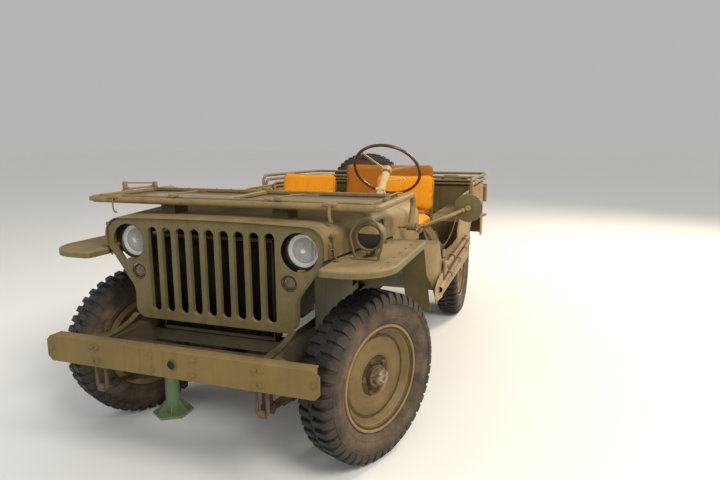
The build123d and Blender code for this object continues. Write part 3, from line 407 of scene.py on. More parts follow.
def ring_tree():
    """Copies of the input geometry turned about X."""
    tree, ins, outs = new_tree("Copies Round an Axle",
                               [("Count", "Int"), ("First Angle", "Float"), ("Material", "Material")])
    points = put(tree, "GeometryNodePoints", {"Count": ins.outputs["Count"]})
    step = put(tree, "ShaderNodeMath", {0: 2 * math.pi, 1: ins.outputs["Count"]}, operation="DIVIDE")
    index = put(tree, "GeometryNodeInputIndex")
    angle = put(tree, "ShaderNodeMath",
                {0: index.outputs[0], 1: step.outputs[0], 2: ins.outputs["First Angle"]},
                operation="MULTIPLY_ADD")
    turn = put(tree, "ShaderNodeCombineXYZ", {"X": angle.outputs[0]})
    spun = put(tree, "FunctionNodeEulerToRotation", {0: turn.outputs[0]})
    copies = put(tree, "GeometryNodeInstanceOnPoints",
                 {"Points": points.outputs[0], "Instance": ins.outputs["Geometry"],
                  "Rotation": spun.outputs[0]})
    return close_tree(tree, ins, outs, copies.outputs[0])


def row_tree():
    """Copies of the input geometry along a straight line."""
    tree, ins, outs = new_tree("Copies in a Row",
                               [("Count", "Int"), ("Step", "Vector"), ("Material", "Material")])
    index = put(tree, "GeometryNodeInputIndex")
    away = put(tree, "ShaderNodeVectorMath", {0: ins.outputs["Step"], "Scale": index.outputs[0]},
               operation="SCALE")
    points = put(tree, "GeometryNodePoints", {"Count": ins.outputs["Count"], "Position": away.outputs[0]})
    copies = put(tree, "GeometryNodeInstanceOnPoints",
                 {"Points": points.outputs[0], "Instance": ins.outputs["Geometry"]})
    return close_tree(tree, ins, outs, copies.outputs[0])


def head_tree():
    """A bolt or rivet head on each point, facing along the points' own direction."""
    tree, ins, outs = new_tree("Heads on Points",
                               [("Size", "Float"), ("Height", "Float"), ("Sides", "Int"), ("Washer", "Float"),
                                ("Material", "Material")])
    half = put(tree, "ShaderNodeMath", {0: ins.outputs["Size"], 1: 0.5}, operation="MULTIPLY")
    head = put(tree, "GeometryNodeMeshCylinder", {"Vertices": ins.outputs["Sides"], "Radius": half.outputs[0],
                                                 "Depth": ins.outputs["Height"]})
    top = put(tree, "GeometryNodeScaleElements",
              {"Geometry": head.outputs["Mesh"], "Selection": head.outputs["Top"], "Scale": 0.82})
    wide = put(tree, "ShaderNodeMath", {0: half.outputs[0], 1: ins.outputs["Washer"]}, operation="MULTIPLY")
    thin = put(tree, "ShaderNodeMath", {0: ins.outputs["Height"], 1: 0.22}, operation="MULTIPLY")
    washer = put(tree, "GeometryNodeMeshCylinder",
                 {"Vertices": 16, "Radius": wide.outputs[0], "Depth": thin.outputs[0]})
    both = tree.nodes.new("GeometryNodeJoinGeometry")
    tree.links.new(top.outputs[0], both.inputs[0])
    tree.links.new(washer.outputs["Mesh"], both.inputs[0])
    facing = put(tree, "GeometryNodeInputNamedAttribute", {"Name": "facing"}, data_type="FLOAT_VECTOR")
    turn = put(tree, "FunctionNodeAlignRotationToVector", {"Vector": facing.outputs["Attribute"]}, axis="Z")
    copies = put(tree, "GeometryNodeInstanceOnPoints",
                 {"Points": ins.outputs["Geometry"], "Instance": both.outputs[0],
                  "Rotation": turn.outputs[0]})
    return close_tree(tree, ins, outs, copies.outputs[0])


TREES = {"Copies Round an Axle": ring_tree, "Copies in a Row": row_tree, "Heads on Points": head_tree}


def grown(mesh, tree_name, values):
    """What a node tree makes of a mesh, as a plain mesh."""
    tree = bpy.data.node_groups.get(tree_name) or TREES[tree_name]()
    holder = new_holder("holder", mesh)
    modifier = holder.modifiers.new("grow", "NODES")
    modifier.node_group = tree
    sockets = {item.name: item.identifier for item in tree.interface.items_tree if item.in_out == "INPUT"}
    for key, value in values.items():
        modifier[sockets[key]] = value
    plain = evaluated_mesh(holder)
    bpy.data.objects.remove(holder)
    return plain


def heads(name, points, body, look, size, height, sides=6, washer=1.45):
    """Bolt or rivet heads at (place, facing) pairs on the car, in millimetres."""
    seeds = bpy.data.meshes.new(name + "_seeds")
    seeds.from_pydata([at(*place) for place, _ in points], [], [])
    facing = seeds.attributes.new("facing", "FLOAT_VECTOR", "POINT")
    facing.data.foreach_set("vector", [value for _, way in points for value in Vector(way).normalized()])
    mesh = grown(seeds, "Heads on Points", {"Size": size, "Height": height, "Sides": sides, "Washer": washer,
                                            "Material": LOOKS[look]})
    mesh.materials.clear()
    shade(mesh, 40)
    return new_piece(name, mesh, body, [look])


# Shader groups

def shader_group(name, inputs, outputs):
    tree = bpy.data.node_groups.new(name, "ShaderNodeTree")
    for label, kind, value in inputs:
        socket = tree.interface.new_socket(label, in_out="INPUT", socket_type="NodeSocket" + kind)
        socket.default_value = value
    for label, kind in outputs:
        tree.interface.new_socket(label, in_out="OUTPUT", socket_type="NodeSocket" + kind)
    return tree, tree.nodes.new("NodeGroupInput"), tree.nodes.new("NodeGroupOutput")


def math_node(tree, operation, one, two=0.0, three=0.0, clamp=False):
    return put(tree, "ShaderNodeMath", {0: one, 1: two, 2: three}, operation=operation,
               use_clamp=clamp).outputs[0]


def mix_node(tree, share, one, two):
    """A mix of two colours, whose sockets are the Mix node's seventh and eighth."""
    return put(tree, "ShaderNodeMix", {"Factor": share, 6: one, 7: two}, data_type="RGBA").outputs[2]


def ramp_node(tree, value, low, high):
    return put(tree, "ShaderNodeMapRange", {"Value": value, "From Min": low, "From Max": high}).outputs[0]


def noise_node(tree, place, scale, detail=5.0, roughness=0.6):
    node = put(tree, "ShaderNodeTexNoise",
               {"Vector": place, "Scale": scale, "Detail": detail, "Roughness": roughness})
    return node.outputs["Fac"]


def stretched(tree, place, scale):
    return put(tree, "ShaderNodeMapping", {"Vector": place, "Scale": scale}).outputs[0]


def object_place(tree):
    return put(tree, "ShaderNodeTexCoord").outputs["Object"]


def surface_way(tree):
    """The surface's direction, as three values."""
    return put(tree, "ShaderNodeSeparateXYZ", {0: put(tree, "ShaderNodeNewGeometry").outputs["Normal"]})


def worn_paint_group():
    """Mottled paint with dust on what faces up, dirt in patches and rubbed spots."""
    tree, ins, outs = shader_group(
        "Worn Paint",
        [("Paint", "Color", (0.2, 0.2, 0.1, 1)), ("Dust", "Color", (0.4, 0.3, 0.2, 1)),
         ("Dust Cover", "Float", 0.4), ("Mottle", "Float", 0.25), ("Scale", "Float", 6.0),
         ("Roughness", "Float", 0.6)],
        [("Color", "Color"), ("Roughness", "Float"), ("Height", "Float")])
    place = object_place(tree)
    broad = noise_node(tree, place, ins.outputs["Scale"], 6.0, 0.62)
    fine_scale = math_node(tree, "MULTIPLY", ins.outputs["Scale"], 14.0)
    fine = noise_node(tree, place, fine_scale, 4.0, 0.7)
    runs = noise_node(tree, stretched(tree, place, (30.0, 30.0, 2.2)), 1.0, 3.0, 0.5)
    streaks = math_node(tree, "MULTIPLY", ramp_node(tree, runs, 0.52, 0.72), 0.28)
    up = ramp_node(tree, surface_way(tree).outputs["Z"], 0.15, 0.95)
    patches = ramp_node(tree, broad, 0.32, 0.62)
    lying = math_node(tree, "MULTIPLY_ADD", up, 0.90, 0.10)
    dusty = math_node(tree, "MULTIPLY", patches, lying)
    cover = math_node(tree, "MULTIPLY", dusty, ins.outputs["Dust Cover"], clamp=True)
    broad_shift = math_node(tree, "SUBTRACT", broad, 0.5)
    fine_shift = math_node(tree, "SUBTRACT", fine, 0.5)
    fine_mottle = math_node(tree, "MULTIPLY", ins.outputs["Mottle"], 0.55)
    shift = math_node(tree, "MULTIPLY", broad_shift, ins.outputs["Mottle"])
    shift = math_node(tree, "MULTIPLY_ADD", fine_shift, fine_mottle, shift)
    bright = math_node(tree, "MULTIPLY_ADD", shift, 2.4, 1.0)
    painted = put(tree, "ShaderNodeVectorMath", {0: ins.outputs["Paint"], "Scale": bright}, operation="SCALE")
    streaked = mix_node(tree, streaks, painted.outputs[0], (0.05, 0.038, 0.022, 1))
    rough = math_node(tree, "MULTIPLY_ADD", cover, 0.30, ins.outputs["Roughness"])
    feed(outs, {
        "Color": mix_node(tree, cover, streaked, ins.outputs["Dust"]),
        "Roughness": math_node(tree, "MULTIPLY_ADD", fine_shift, 0.22, rough, clamp=True),
        "Height": math_node(tree, "MULTIPLY_ADD", fine, 0.5, math_node(tree, "MULTIPLY", broad, 0.5))})
    return tree


def chip_group():
    """Small spots where the paint is gone."""
    tree, ins, outs = shader_group("Paint Chips", [("Scale", "Float", 60.0), ("Amount", "Float", 0.1)],
                                   [("Mask", "Float")])
    place = object_place(tree)
    small = noise_node(tree, place, ins.outputs["Scale"], 3.0, 0.75)
    large = noise_node(tree, place, math_node(tree, "MULTIPLY", ins.outputs["Scale"], 0.09), 2.0, 0.5)
    level = math_node(tree, "MULTIPLY_ADD", ins.outputs["Amount"], -0.35, 0.76)
    both = math_node(tree, "MULTIPLY_ADD", math_node(tree, "SUBTRACT", large, 0.5), 0.45, small)
    mask = math_node(tree, "MULTIPLY", math_node(tree, "SUBTRACT", both, level), 26.0, clamp=True)
    tree.links.new(mask, outs.inputs["Mask"])
    return tree


def weave_group():
    """Plain weave seen along each of the three directions."""
    tree, ins, outs = shader_group("Canvas Weave", [("Threads", "Float", 900.0)],
                                   [("Height", "Float"), ("Shade", "Float")])
    place = object_place(tree)
    scaled = put(tree, "ShaderNodeVectorMath", {0: place, "Scale": ins.outputs["Threads"]}, operation="SCALE")
    split = put(tree, "ShaderNodeSeparateXYZ", {0: scaled.outputs[0]})
    waves = [math_node(tree, "SINE", split.outputs[i]) for i in range(3)]
    normal = surface_way(tree)
    total = None
    for i, (a, b) in enumerate(((1, 2), (0, 2), (0, 1))):
        share = math_node(tree, "POWER", math_node(tree, "ABSOLUTE", normal.outputs[i]), 3.0)
        woven = math_node(tree, "MULTIPLY", math_node(tree, "MULTIPLY", waves[a], waves[b]), share)
        total = woven if total is None else math_node(tree, "ADD", total, woven)
    slub = noise_node(tree, stretched(tree, place, (300.0, 20.0, 300.0)), 1.0, 2.0, 0.5)
    feed(outs, {"Height": total, "Shade": slub})
    return tree


def toned(value, share):
    """A colour made darker or paler."""
    return [min(1.0, part * share) for part in value]


def rgba(value, share=1.0):
    return (*toned(value, share), 1.0)


def new_material(name):
    material = bpy.data.materials.new("look_" + name)
    LOOKS[name] = material
    material.use_nodes = True
    tree = material.node_tree
    tree.nodes.clear()
    shader = tree.nodes.new("ShaderNodeBsdfPrincipled")
    out = tree.nodes.new("ShaderNodeOutputMaterial")
    tree.links.new(shader.outputs[0], out.inputs["Surface"])
    return tree, shader


SHADER_GROUPS = {"Worn Paint": worn_paint_group, "Paint Chips": chip_group, "Canvas Weave": weave_group}


def use_group(tree, name, values):
    group = bpy.data.node_groups.get(name) or SHADER_GROUPS[name]()
    return put(tree, "ShaderNodeGroup", values, node_tree=group)


def bump(tree, height, strength, distance):
    return put(tree, "ShaderNodeBump", {"Strength": strength, "Distance": distance,
                                        "Height": height}).outputs[0]


def paint_material(name, base, dust, cover, mottle, scale, rough, chips, under=(0.09, 0.045, 0.02), sheen=0.0,
                   relief=0.15):
    """Worn paint with dust, streaks and chips down to another colour."""
    tree, shader = new_material(name)
    worn = use_group(tree, "Worn Paint", {"Paint": rgba(base), "Dust": rgba(dust), "Dust Cover": cover,
                                          "Mottle": mottle, "Scale": scale, "Roughness": rough})
    chipped = use_group(tree, "Paint Chips", {"Scale": 70.0, "Amount": chips})
    level = math_node(tree, "MULTIPLY_ADD", chipped.outputs["Mask"], -0.35, worn.outputs["Height"])
    feed(shader, {
        "Base Color": mix_node(tree, chipped.outputs["Mask"], worn.outputs["Color"], rgba(under)),
        "Roughness": worn.outputs["Roughness"],
        "Normal": bump(tree, level, relief, 0.002),
        "Specular IOR Level": 0.25})
    if sheen:
        feed(shader, {"Coat Weight": sheen, "Coat Roughness": 0.25})


def metal_material(name, base, rough, metal=1.0, rust=None, rust_share=0.5, scale=30.0):
    """Bare metal, with rust in patches where it has any."""
    tree, shader = new_material(name)
    place = object_place(tree)
    value = noise_node(tree, place, scale, 6.0, 0.65)
    fine = noise_node(tree, place, scale * 9, 3.0, 0.6)
    if rust:
        mask = ramp_node(tree, value, 0.62 - rust_share * 0.3, 0.70 - rust_share * 0.3)
        deep = mix_node(tree, fine, rgba(rust), rgba(rust, 2.1))
        feed(shader, {
            "Base Color": mix_node(tree, mask, rgba(base), deep),
            "Metallic": math_node(tree, "MULTIPLY_ADD", mask, -metal, metal),
            "Roughness": math_node(tree, "MULTIPLY_ADD", mask, 0.4, rough, clamp=True)})
    else:
        feed(shader, {
            "Base Color": mix_node(tree, value, rgba(base, 0.88), rgba(base, 1.08)),
            "Metallic": metal,
            "Roughness": math_node(tree, "MULTIPLY_ADD", fine, 0.12, rough - 0.06)})
    feed(shader, {"Normal": bump(tree, fine, 0.12, 0.001)})


def rubber_material(name, base, mud):
    """Dark rubber, with dried mud where the tread's own mask says."""
    tree, shader = new_material(name)
    place = object_place(tree)
    mask = put(tree, "ShaderNodeAttribute", attribute_name="mud").outputs["Fac"]
    patch = noise_node(tree, place, 14.0, 6.0, 0.65)
    fine = noise_node(tree, place, 160.0, 4.0, 0.6)
    share = math_node(tree, "MULTIPLY", ramp_node(tree, patch, 0.25, 0.7), mask, clamp=True)
    share = math_node(tree, "MULTIPLY_ADD", math_node(tree, "SUBTRACT", fine, 0.5), 0.35, share, clamp=True)
    dark = mix_node(tree, fine, rgba(base, 0.7), rgba(base, 1.5))
    pale = mix_node(tree, patch, rgba(mud, 0.75), rgba(mud, 1.3))
    feed(shader, {
        "Base Color": mix_node(tree, share, dark, pale),
        "Roughness": math_node(tree, "MULTIPLY_ADD", share, 0.25, 0.62),
        "Normal": bump(tree, fine, 0.25, 0.0015),
        "Specular IOR Level": 0.35})


def canvas_material(name, base, threads=1500.0, relief=0.35):
    """Faded, soiled canvas with a visible weave."""
    tree, shader = new_material(name)
    place = object_place(tree)
    weave = use_group(tree, "Canvas Weave", {"Threads": threads})
    soil = ramp_node(tree, noise_node(tree, place, 7.0, 6.0, 0.65), 0.42, 0.75)
    soil_tone = rgba([base[0] * 0.45, base[1] * 0.4, base[2] * 0.6 + 0.01])
    # Painted shade: the weave's hollows are darkened toward half the cloth's colour.
    weave_hollow_shade = ramp_node(tree, weave.outputs["Height"], 0.6, -0.8)
    cloth = mix_node(tree, weave.outputs["Shade"], rgba(base, 0.84), rgba(base, 1.14))
    cloth = mix_node(tree, math_node(tree, "MULTIPLY", soil, 0.3), cloth, soil_tone)
    cloth = mix_node(tree, math_node(tree, "MULTIPLY", weave_hollow_shade, 0.35), cloth, rgba(base, 0.5))
    crease = noise_node(tree, place, 26.0, 4.0, 0.55)
    level = math_node(tree, "MULTIPLY_ADD", crease, 1.4, weave.outputs["Height"])
    feed(shader, {
        "Base Color": cloth,
        "Roughness": 0.86,
        "Normal": bump(tree, level, relief, 0.0012),
        "Specular IOR Level": 0.25})


def wood_material(name, base, along):
    """Grain along one axis, dulled by handling."""
    tree, shader = new_material(name)
    place = object_place(tree)
    stretch = [70.0, 70.0, 70.0]
    stretch[along] = 5.0
    grain = noise_node(tree, stretched(tree, place, stretch), 1.0, 6.0, 0.65)
    soil = ramp_node(tree, noise_node(tree, place, 9.0, 5.0, 0.6), 0.4, 0.7)
    wood = mix_node(tree, ramp_node(tree, grain, 0.35, 0.68), rgba(base, 0.45), rgba(base))
    wood = mix_node(tree, math_node(tree, "MULTIPLY", soil, 0.4), wood, rgba(base, 0.35))
    feed(shader, {"Base Color": wood, "Roughness": 0.62, "Normal": bump(tree, grain, 0.3, 0.001)})


def glass_material(name, tint, share, rough, ribs=0.0):
    """Thin glass with a film of dust, which on the headlamps' pale glass is a painted reflection too; ribs
    give a lamp's glass its moulded flutes.
    """
    tree, shader = new_material(name)
    place = object_place(tree)
    soil = noise_node(tree, place, 9.0, 5.0, 0.6)
    feed(shader, {
        "Base Color": mix_node(tree, soil, rgba(tint, 0.75), rgba(tint)),
        "Alpha": math_node(tree, "MULTIPLY_ADD", soil, share * 0.6, share * 0.7),
        "Roughness": rough,
        "Specular IOR Level": 0.4})
    if ribs:
        split = put(tree, "ShaderNodeSeparateXYZ", {0: place})
        wave = math_node(tree, "SINE", math_node(tree, "MULTIPLY", split.outputs["X"], ribs))
        feed(shader, {"Coat Weight": 0.6, "Coat Roughness": 0.03, "Normal": bump(tree, wave, 0.6, 0.003)})


def rim_material(name, base):
    """Glossy brown moulding with darker swirls."""
    tree, shader = new_material(name)
    swirl = noise_node(tree, object_place(tree), 22.0, 5.0, 0.6)
    feed(shader, {
        "Base Color": mix_node(tree, swirl, rgba(base, 0.55), rgba(base, 1.7)),
        "Roughness": math_node(tree, "MULTIPLY_ADD", swirl, 0.25, 0.18),
        "Coat Weight": 0.35})


def dial_material(name):
    """Near-black face behind a dial's glass."""
    tree, shader = new_material(name)
    fine = noise_node(tree, object_place(tree), 120.0, 3.0, 0.5)
    feed(shader, {
        "Base Color": mix_node(tree, fine, (0.010, 0.010, 0.009, 1), (0.028, 0.026, 0.022, 1)),
        "Roughness": 0.35,
        "Specular IOR Level": 0.3,
        "Coat Weight": 0.15})


def make_paints(c):
    """Paints: base, dust, dust cover, mottle, scale of the mottle, roughness, chips."""
    # Painted light: the tan is paler and warmer than the olive. It stands for the warm light falling on the
    # hood, the windscreen and the bows.
    tan = [v * 0.5 + w * 0.45 for v, w in zip(c.paint, c.spotlit_tone)]
    paint_material("olive_paint", c.paint, c.dust, 0.62, 0.36, 5.0, 0.52, 0.06)
    # The body sides' paint is the spotlit tone a little darker, so it is painted light too.
    paint_material("side_paint", toned(c.spotlit_tone, 0.80), c.dust, 0.55, 0.30, 5.0, 0.52, 0.10)
    paint_material("dusty_paint", toned(c.paint, 1.15), c.dust, 0.95, 0.36, 4.0, 0.52, 0.06)
    paint_material("warm_lit_paint", tan, c.dust, 0.60, 0.30, 7.0, 0.48, 0.10)
    paint_material("shackle_paint", toned(c.mud, 0.8), c.dust, 0.20, 0.40, 20.0, 0.55, 0.20,
                   under=(0.05, 0.025, 0.012))
    # The cowl's paint is a painted highlight for the spotlight on it. The blackout lamp's hood and the
    # mirror's frame use it too.
    paint_material("spotlit_paint", c.spotlit_tone, c.dust, 0.50, 0.24, 6.0, 0.52, 0.08)
    # Dark grimy paint for the parts under the car. On the radiator's tanks it is painted shade behind the
    # grille.
    paint_material("grime_and_shade_paint", c.chassis, c.mud, 0.45, 0.45, 9.0, 0.70, 0.15, relief=0.3)
    paint_material("bumper_paint", c.bumper, c.dust, 0.30, 0.20, 7.0, 0.50, 0.10)
    paint_material("wheel_paint", c.wheel, c.dust, 0.35, 0.42, 11.0, 0.46, 0.10)
    # Painted highlight: the wheels' lips and hub rings are paler paint standing for the light caught on their
    # edges.
    paint_material("highlight_lip_paint", toned(c.wheel, 1.55), c.dust, 0.30, 0.30, 14.0, 0.42, 0.06)
    paint_material("dark_olive_paint", toned(c.paint, 0.45), c.dust, 0.20, 0.35, 12.0, 0.62, 0.10)
    paint_material("stand_enamel", c.stand, c.dust, 0.15, 0.14, 12.0, 0.38, 0.10, under=(0.10, 0.09, 0.06),
                   sheen=0.25)
    paint_material("engine_enamel", (0.055, 0.062, 0.044), c.mud, 0.4, 0.35, 12.0, 0.55, 0.15)
    paint_material("cream_enamel", c.cream, c.dust, 0.10, 0.16, 18.0, 0.34, 0.10, sheen=0.3)
    # Black enamel for knobs and rings. On the radiator and its fins it is painted shade behind the grille.
    paint_material("black_enamel_and_shade", (0.008, 0.007, 0.006), c.dust, 0.08, 0.3, 14.0, 0.45, 0.03)
    paint_material("steel_paint", toned(c.spotlit_tone, 0.9), c.dust, 0.30, 0.3, 12.0, 0.5, 0.25,
                   under=(0.12, 0.10, 0.08))


def make_other_finishes(c):
    """Metals, rubber, canvas, wood and glass."""
    metal_material("rusty_iron", c.iron, 0.45, 0.9, c.rust, 0.85, 26.0)
    metal_material("worn_iron", c.iron, 0.38, 0.95, c.rust, 0.25, 34.0)
    metal_material("cap_metal", (0.30, 0.24, 0.17), 0.42, 0.45, c.rust, 0.45, 44.0)
    metal_material("mirror_silver", (0.90, 0.90, 0.88), 0.06)
    # Painted reflection: the headlamps' reflectors are near-white and hardly metallic, so they look bright
    # with glare.
    metal_material("reflector_glare_white", (0.99, 0.98, 0.95), 0.18, 0.05)
    rubber_material("tyre_rubber", c.rubber, c.mud)
    rubber_material("plain_rubber", toned(c.rubber, 1.2), c.mud)
    canvas_material("seat_canvas", c.canvas)
    canvas_material("painted_shadow_canvas", c.painted_shadow_canvas)
    canvas_material("seam_canvas", toned(c.canvas, 0.72), 2200.0, 0.5)
    canvas_material("strap_webbing", (0.23, 0.17, 0.08), 1700.0, 0.6)
    wood_material("ash_handle", c.timber, 1)
    wood_material("block_timber", toned(c.timber, 0.62), 0)
    glass_material("pane_glass", (0.30, 0.22, 0.115), 0.60, 0.30)
    glass_material("clear_glass", (0.85, 0.85, 0.80), 0.14, 0.06)
    # Painted reflection: the headlamps' glass is a pale, milky white film standing for the glare on it.
    glass_material("lens_glare_glass", (0.98, 0.97, 0.93), 0.22, 0.08, 420.0)
    glass_material("amber_glass", (0.12, 0.085, 0.045), 0.95, 0.20, 900.0)
    glass_material("red_glass", (0.40, 0.02, 0.015), 0.90, 0.08, 700.0)
    rim_material("moulded_rim", c.moulded_rim)
    dial_material("dial_face")


FRAME_LOOKS = {
    "spotlit_paint": ["cowl"],
    "side_paint": ["body_side_left", "body_side_right"],
    "grime_and_shade_paint": ["chassis_frame", "front_axle", "rear_axle", "springs", "drive_train", "exhaust",
                    "knuckle_left", "knuckle_right", "bellcrank", "tie_rod_left", "tie_rod_right",
                    "pitman_arm", "drag_link"],
    # The radiator is black as painted shade behind the grille.
    "black_enamel_and_shade": ["radiator"],
    "dark_olive_paint": ["fuel_tank", "hood_blocks"],
    "bumper_paint": ["front_bumper"],
    "shackle_paint": ["tow_fittings"],
    "dusty_paint": ["fender_left", "fender_right"],
    "warm_lit_paint": ["windscreen_frame", "top_bows", "hood"],
    "wheel_paint": ["wheel_" + corner for corner in WHEELS] + ["spare_wheel"],
    "rusty_iron": ["hub_" + corner for corner in WHEELS],
    "stand_enamel": ["axle_stands"],
    "engine_enamel": ["engine_block"],
    "pane_glass": ["windscreen_glass"],
    "steel_paint": ["shovel_axe"],
    "tyre_rubber": ["tyre_" + corner for corner in WHEELS] + ["spare_tyre"],
    "seat_canvas": ["seat_cushions", "seat_backs"],
    "lens_glare_glass": ["lamp_lenses"],
    "moulded_rim": ["steering_wheel"],
}


class ARMYCAR_OT_finishes(bpy.types.Operator):
    """Give every solid of the frame its finish"""
    bl_idname = "army_car.finishes"
    bl_label = "Finishes"

    def execute(self, context):
        make_paints(context.scene.army_car_colours)
        make_other_finishes(context.scene.army_car_colours)
        chosen = {node: look for look, nodes in FRAME_LOOKS.items() for node in nodes}
        for name, node in frame["nodes"].items():
            node.data.materials.clear()
            node.data.materials.append(LOOKS[chosen.get(name, "olive_paint")])
        return {"FINISHED"}


# Tyres and wheels

# Half profiles as (distance from the middle, radius), in millimetres.
CARCASS = [(57, 204), (57, 224), (59, 229), (63, 231), (64, 235), (67, 238), (72, 247), (74, 251),
           (75.6, 252), (75.8, 257), (75, 259), (78, 268), (79.5, 280), (79.6, 292), (77.6, 300),
           (78.8, 302), (78.6, 306), (76.5, 308), (75.5, 318), (72, 328), (64, 336), (52, 340), (11, 341)]
CENTRE_RIB = [(11, 341), (9, 350), (-9, 350), (-11, 341)]
BEAD_SEAT = [(-50, 203.6), (50, 203.6)]
LUG = [(5, 337), (5, 352), (7, 354.6), (10, 355.4), (58, 355), (63, 352), (70, 342), (77.5, 329), (79.6, 312),
       (77, 309), (72, 318), (64, 331), (50, 337)]
TREAD_RADIUS = 355
LUG_FLARE = 0.12
LUG_EDGE_RADIUS = 345


def lug_part(side, width, turn):
    """One tread lug across half the tread and down the shoulder, wider at its foot."""
    rows = []
    for share in (-1, 1):
        rows.append([(side * x, share * (width / 2 + LUG_FLARE * (TREAD_RADIUS - r)), r) for x, r in LUG])
    part = skin(rows)
    bmesh.ops.recalc_face_normals(part, faces=part.faces[:])
    outer = [edge for edge in part.edges
             if all(math.hypot(vert.co.y, vert.co.z) > LUG_EDGE_RADIUS for vert in edge.verts)]
    bmesh.ops.bevel(part, geom=outer, offset=1.6, segments=1, affect="EDGES", profile=0.5)
    part.transform(Matrix.Rotation(turn, 4, "X"))
    return part


def share_between(value, low, high):
    """How far a value is from one bound to the other, from 0 to 1."""
    return min(1.0, max(0.0, (value - low) / (high - low)))


def mud_on(place):
    """How muddy a place on the tyre is: most on the walls, some in the grooves."""
    radius = math.hypot(place.y, place.z)
    wall = 1.25 - 0.75 * share_between(radius, 262, 322)
    wall *= share_between(abs(place.x), 54, 62)
    groove = (1 - share_between(radius, 342, 350)) * 0.35
    return max(0.06, wall, groove) if radius < 338 else max(0.06, groove)


def tyre_mesh(sizes):
    """A tyre about X, in millimetres."""
    pair = Form()
    pair.take(lug_part(1, sizes.lug_width * 1000, 0.0))
    pair.take(lug_part(-1, sizes.lug_width * 1000, math.pi / sizes.lug_count))
    lugs = grown(pair.plain_mesh("lug_pair"), "Copies Round an Axle",
                 {"Count": sizes.lug_count, "First Angle": 0.0, "Material": LOOKS["tyre_rubber"]})
    whole = Form()
    far_side = [(-x, r) for x, r in reversed(CARCASS)]
    whole.lathe(CARCASS + CENTRE_RIB + far_side + BEAD_SEAT, 144, closed=True)
    whole.mesh.from_mesh(lugs)
    mesh = whole.plain_mesh("tyre")
    shade(mesh, 34)
    mud = mesh.attributes.new("mud", "FLOAT", "POINT")
    mud.data.foreach_set("value", [mud_on(vert.co) for vert in mesh.vertices])
    return mesh


def placed_copy(pattern, place):
    mesh = pattern.copy()
    mesh.transform(place)
    return mesh


class ARMYCAR_OT_tyres(bpy.types.Operator):
    """Make the five tyres with their lugged tread"""
    bl_idname = "army_car.tyres"
    bl_label = "Tyres"

    def execute(self, context):
        pattern = tyre_mesh(context.scene.army_car_sizes)
        for corner, (place, body) in WHEELS.items():
            new_piece("tread_" + corner, placed_copy(pattern, place), body, ["tyre_rubber"],
                      ["tyre_" + corner])
        new_piece("tread_spare", placed_copy(pattern, SPARE[0]), SPARE[1], ["tyre_rubber"],
                  ["spare_tyre"])
        return {"FINISHED"}


def nut_ring(across, height, x, radius, count, first_angle, look):
    """A ring of chamfered nuts about X, with their studs' ends."""
    r = across / 2
    rows = [(x, 0), (x, r), (x + height * 0.8, r), (x + height, r * 0.82), (x + height, r * 0.45),
            (x + height + 3, r * 0.42), (x + height + 3, 0)]
    nut = Form()
    nut.lathe(rows, 6, turn=Matrix.Translation((0, 0, radius)))
    ring = grown(nut.plain_mesh("nut"), "Copies Round an Axle",
                 {"Count": count, "First Angle": first_angle, "Material": LOOKS["rusty_iron"]})
    ring.polygons.foreach_set("material_index", [look] * len(ring.polygons))
    return ring


# LIP paints a highlight on the rims' lips, the hub's flange ring and the hub's small nuts.
FITTING_LOOKS = ["rusty_iron", "highlight_lip_paint", "cap_metal", "dark_olive_paint"]
IRON, LIP, CAP, SHADE_LINE = range(len(FITTING_LOOKS))


def fittings_mesh(sizes, hub):
    """Rim lip, valve and nuts of a wheel, with its hub or with the spare's cap, in millimetres about X."""
    form = Form()
    form.mesh.from_mesh(nut_ring(sizes.nut_size * 1000, 13, 12, 69.8, 5, 0.3, IRON))
    for rows, sides, closed, look in (
            ([(61, 213), (63.5, 215.5), (64.2, 219), (63.4, 223), (60.5, 225.4), (56.8, 224.8), (56.8, 222.3),
              (60.5, 221.5), (61, 216)], 96, True, LIP),
            ([(44.6, 197.2), (46.2, 199), (46, 202), (44.4, 203), (43.2, 200)], 96, True, LIP),
            ([(20.3, 166.2), (21.4, 166.6), (21.4, 172.8), (24.4, 177.6), (20.3, 176)], 96, True, SHADE_LINE),
            ([(12.4, 41), (13, 47), (13, 80), (12.4, 83)], 64, False, SHADE_LINE),
            ([(12.6, 84.2), (24.4, 87.6), (26.2, 89.6), (24.8, 90.6), (20, 89.6)], 72, False, LIP)):
        form.lathe(rows, sides, closed, look)
    form.tube([(24, 0, 177), (38, 0, 184), (52, 0, 190)], 3.6, 8)
    if hub:
        form.lathe([(28.2, 0), (28.2, 46), (31, 48), (35, 47), (37, 44), (37, 0)], 40)
        form.mesh.from_mesh(nut_ring(11, 6, 37, 40, 6, 0.1, LIP))
        form.lathe([(37, 33), (40, 35.5), (56, 34.8), (63, 33.8), (68, 29), (69, 22), (69, 0)], 40, look=CAP)
        form.lathe([(69, 0), (69, 9), (71.5, 8), (72, 0)], 16)
    else:
        form.lathe([(4, 0), (4, 39), (7, 41.5), (10, 40), (16, 30), (18, 0)], 40)
    mesh = form.plain_mesh("fittings")
    shade(mesh, 38)
    return mesh


class ARMYCAR_OT_wheel_fittings(bpy.types.Operator):
    """Add nuts, valves, rim lips and hub caps"""
    bl_idname = "army_car.wheel_fittings"
    bl_label = "Wheel Fittings"

    def execute(self, context):
        sizes = context.scene.army_car_sizes
        pattern = fittings_mesh(sizes, True)
        for corner, (place, body) in WHEELS.items():
            new_piece("wheel_nuts_" + corner, placed_copy(pattern, place), body, FITTING_LOOKS)
        new_piece("wheel_nuts_spare", placed_copy(fittings_mesh(sizes, False), SPARE[0]), SPARE[1],
                  FITTING_LOOKS)
        return {"FINISHED"}


# Lamps and front. Places from here on are in millimetres on the car.

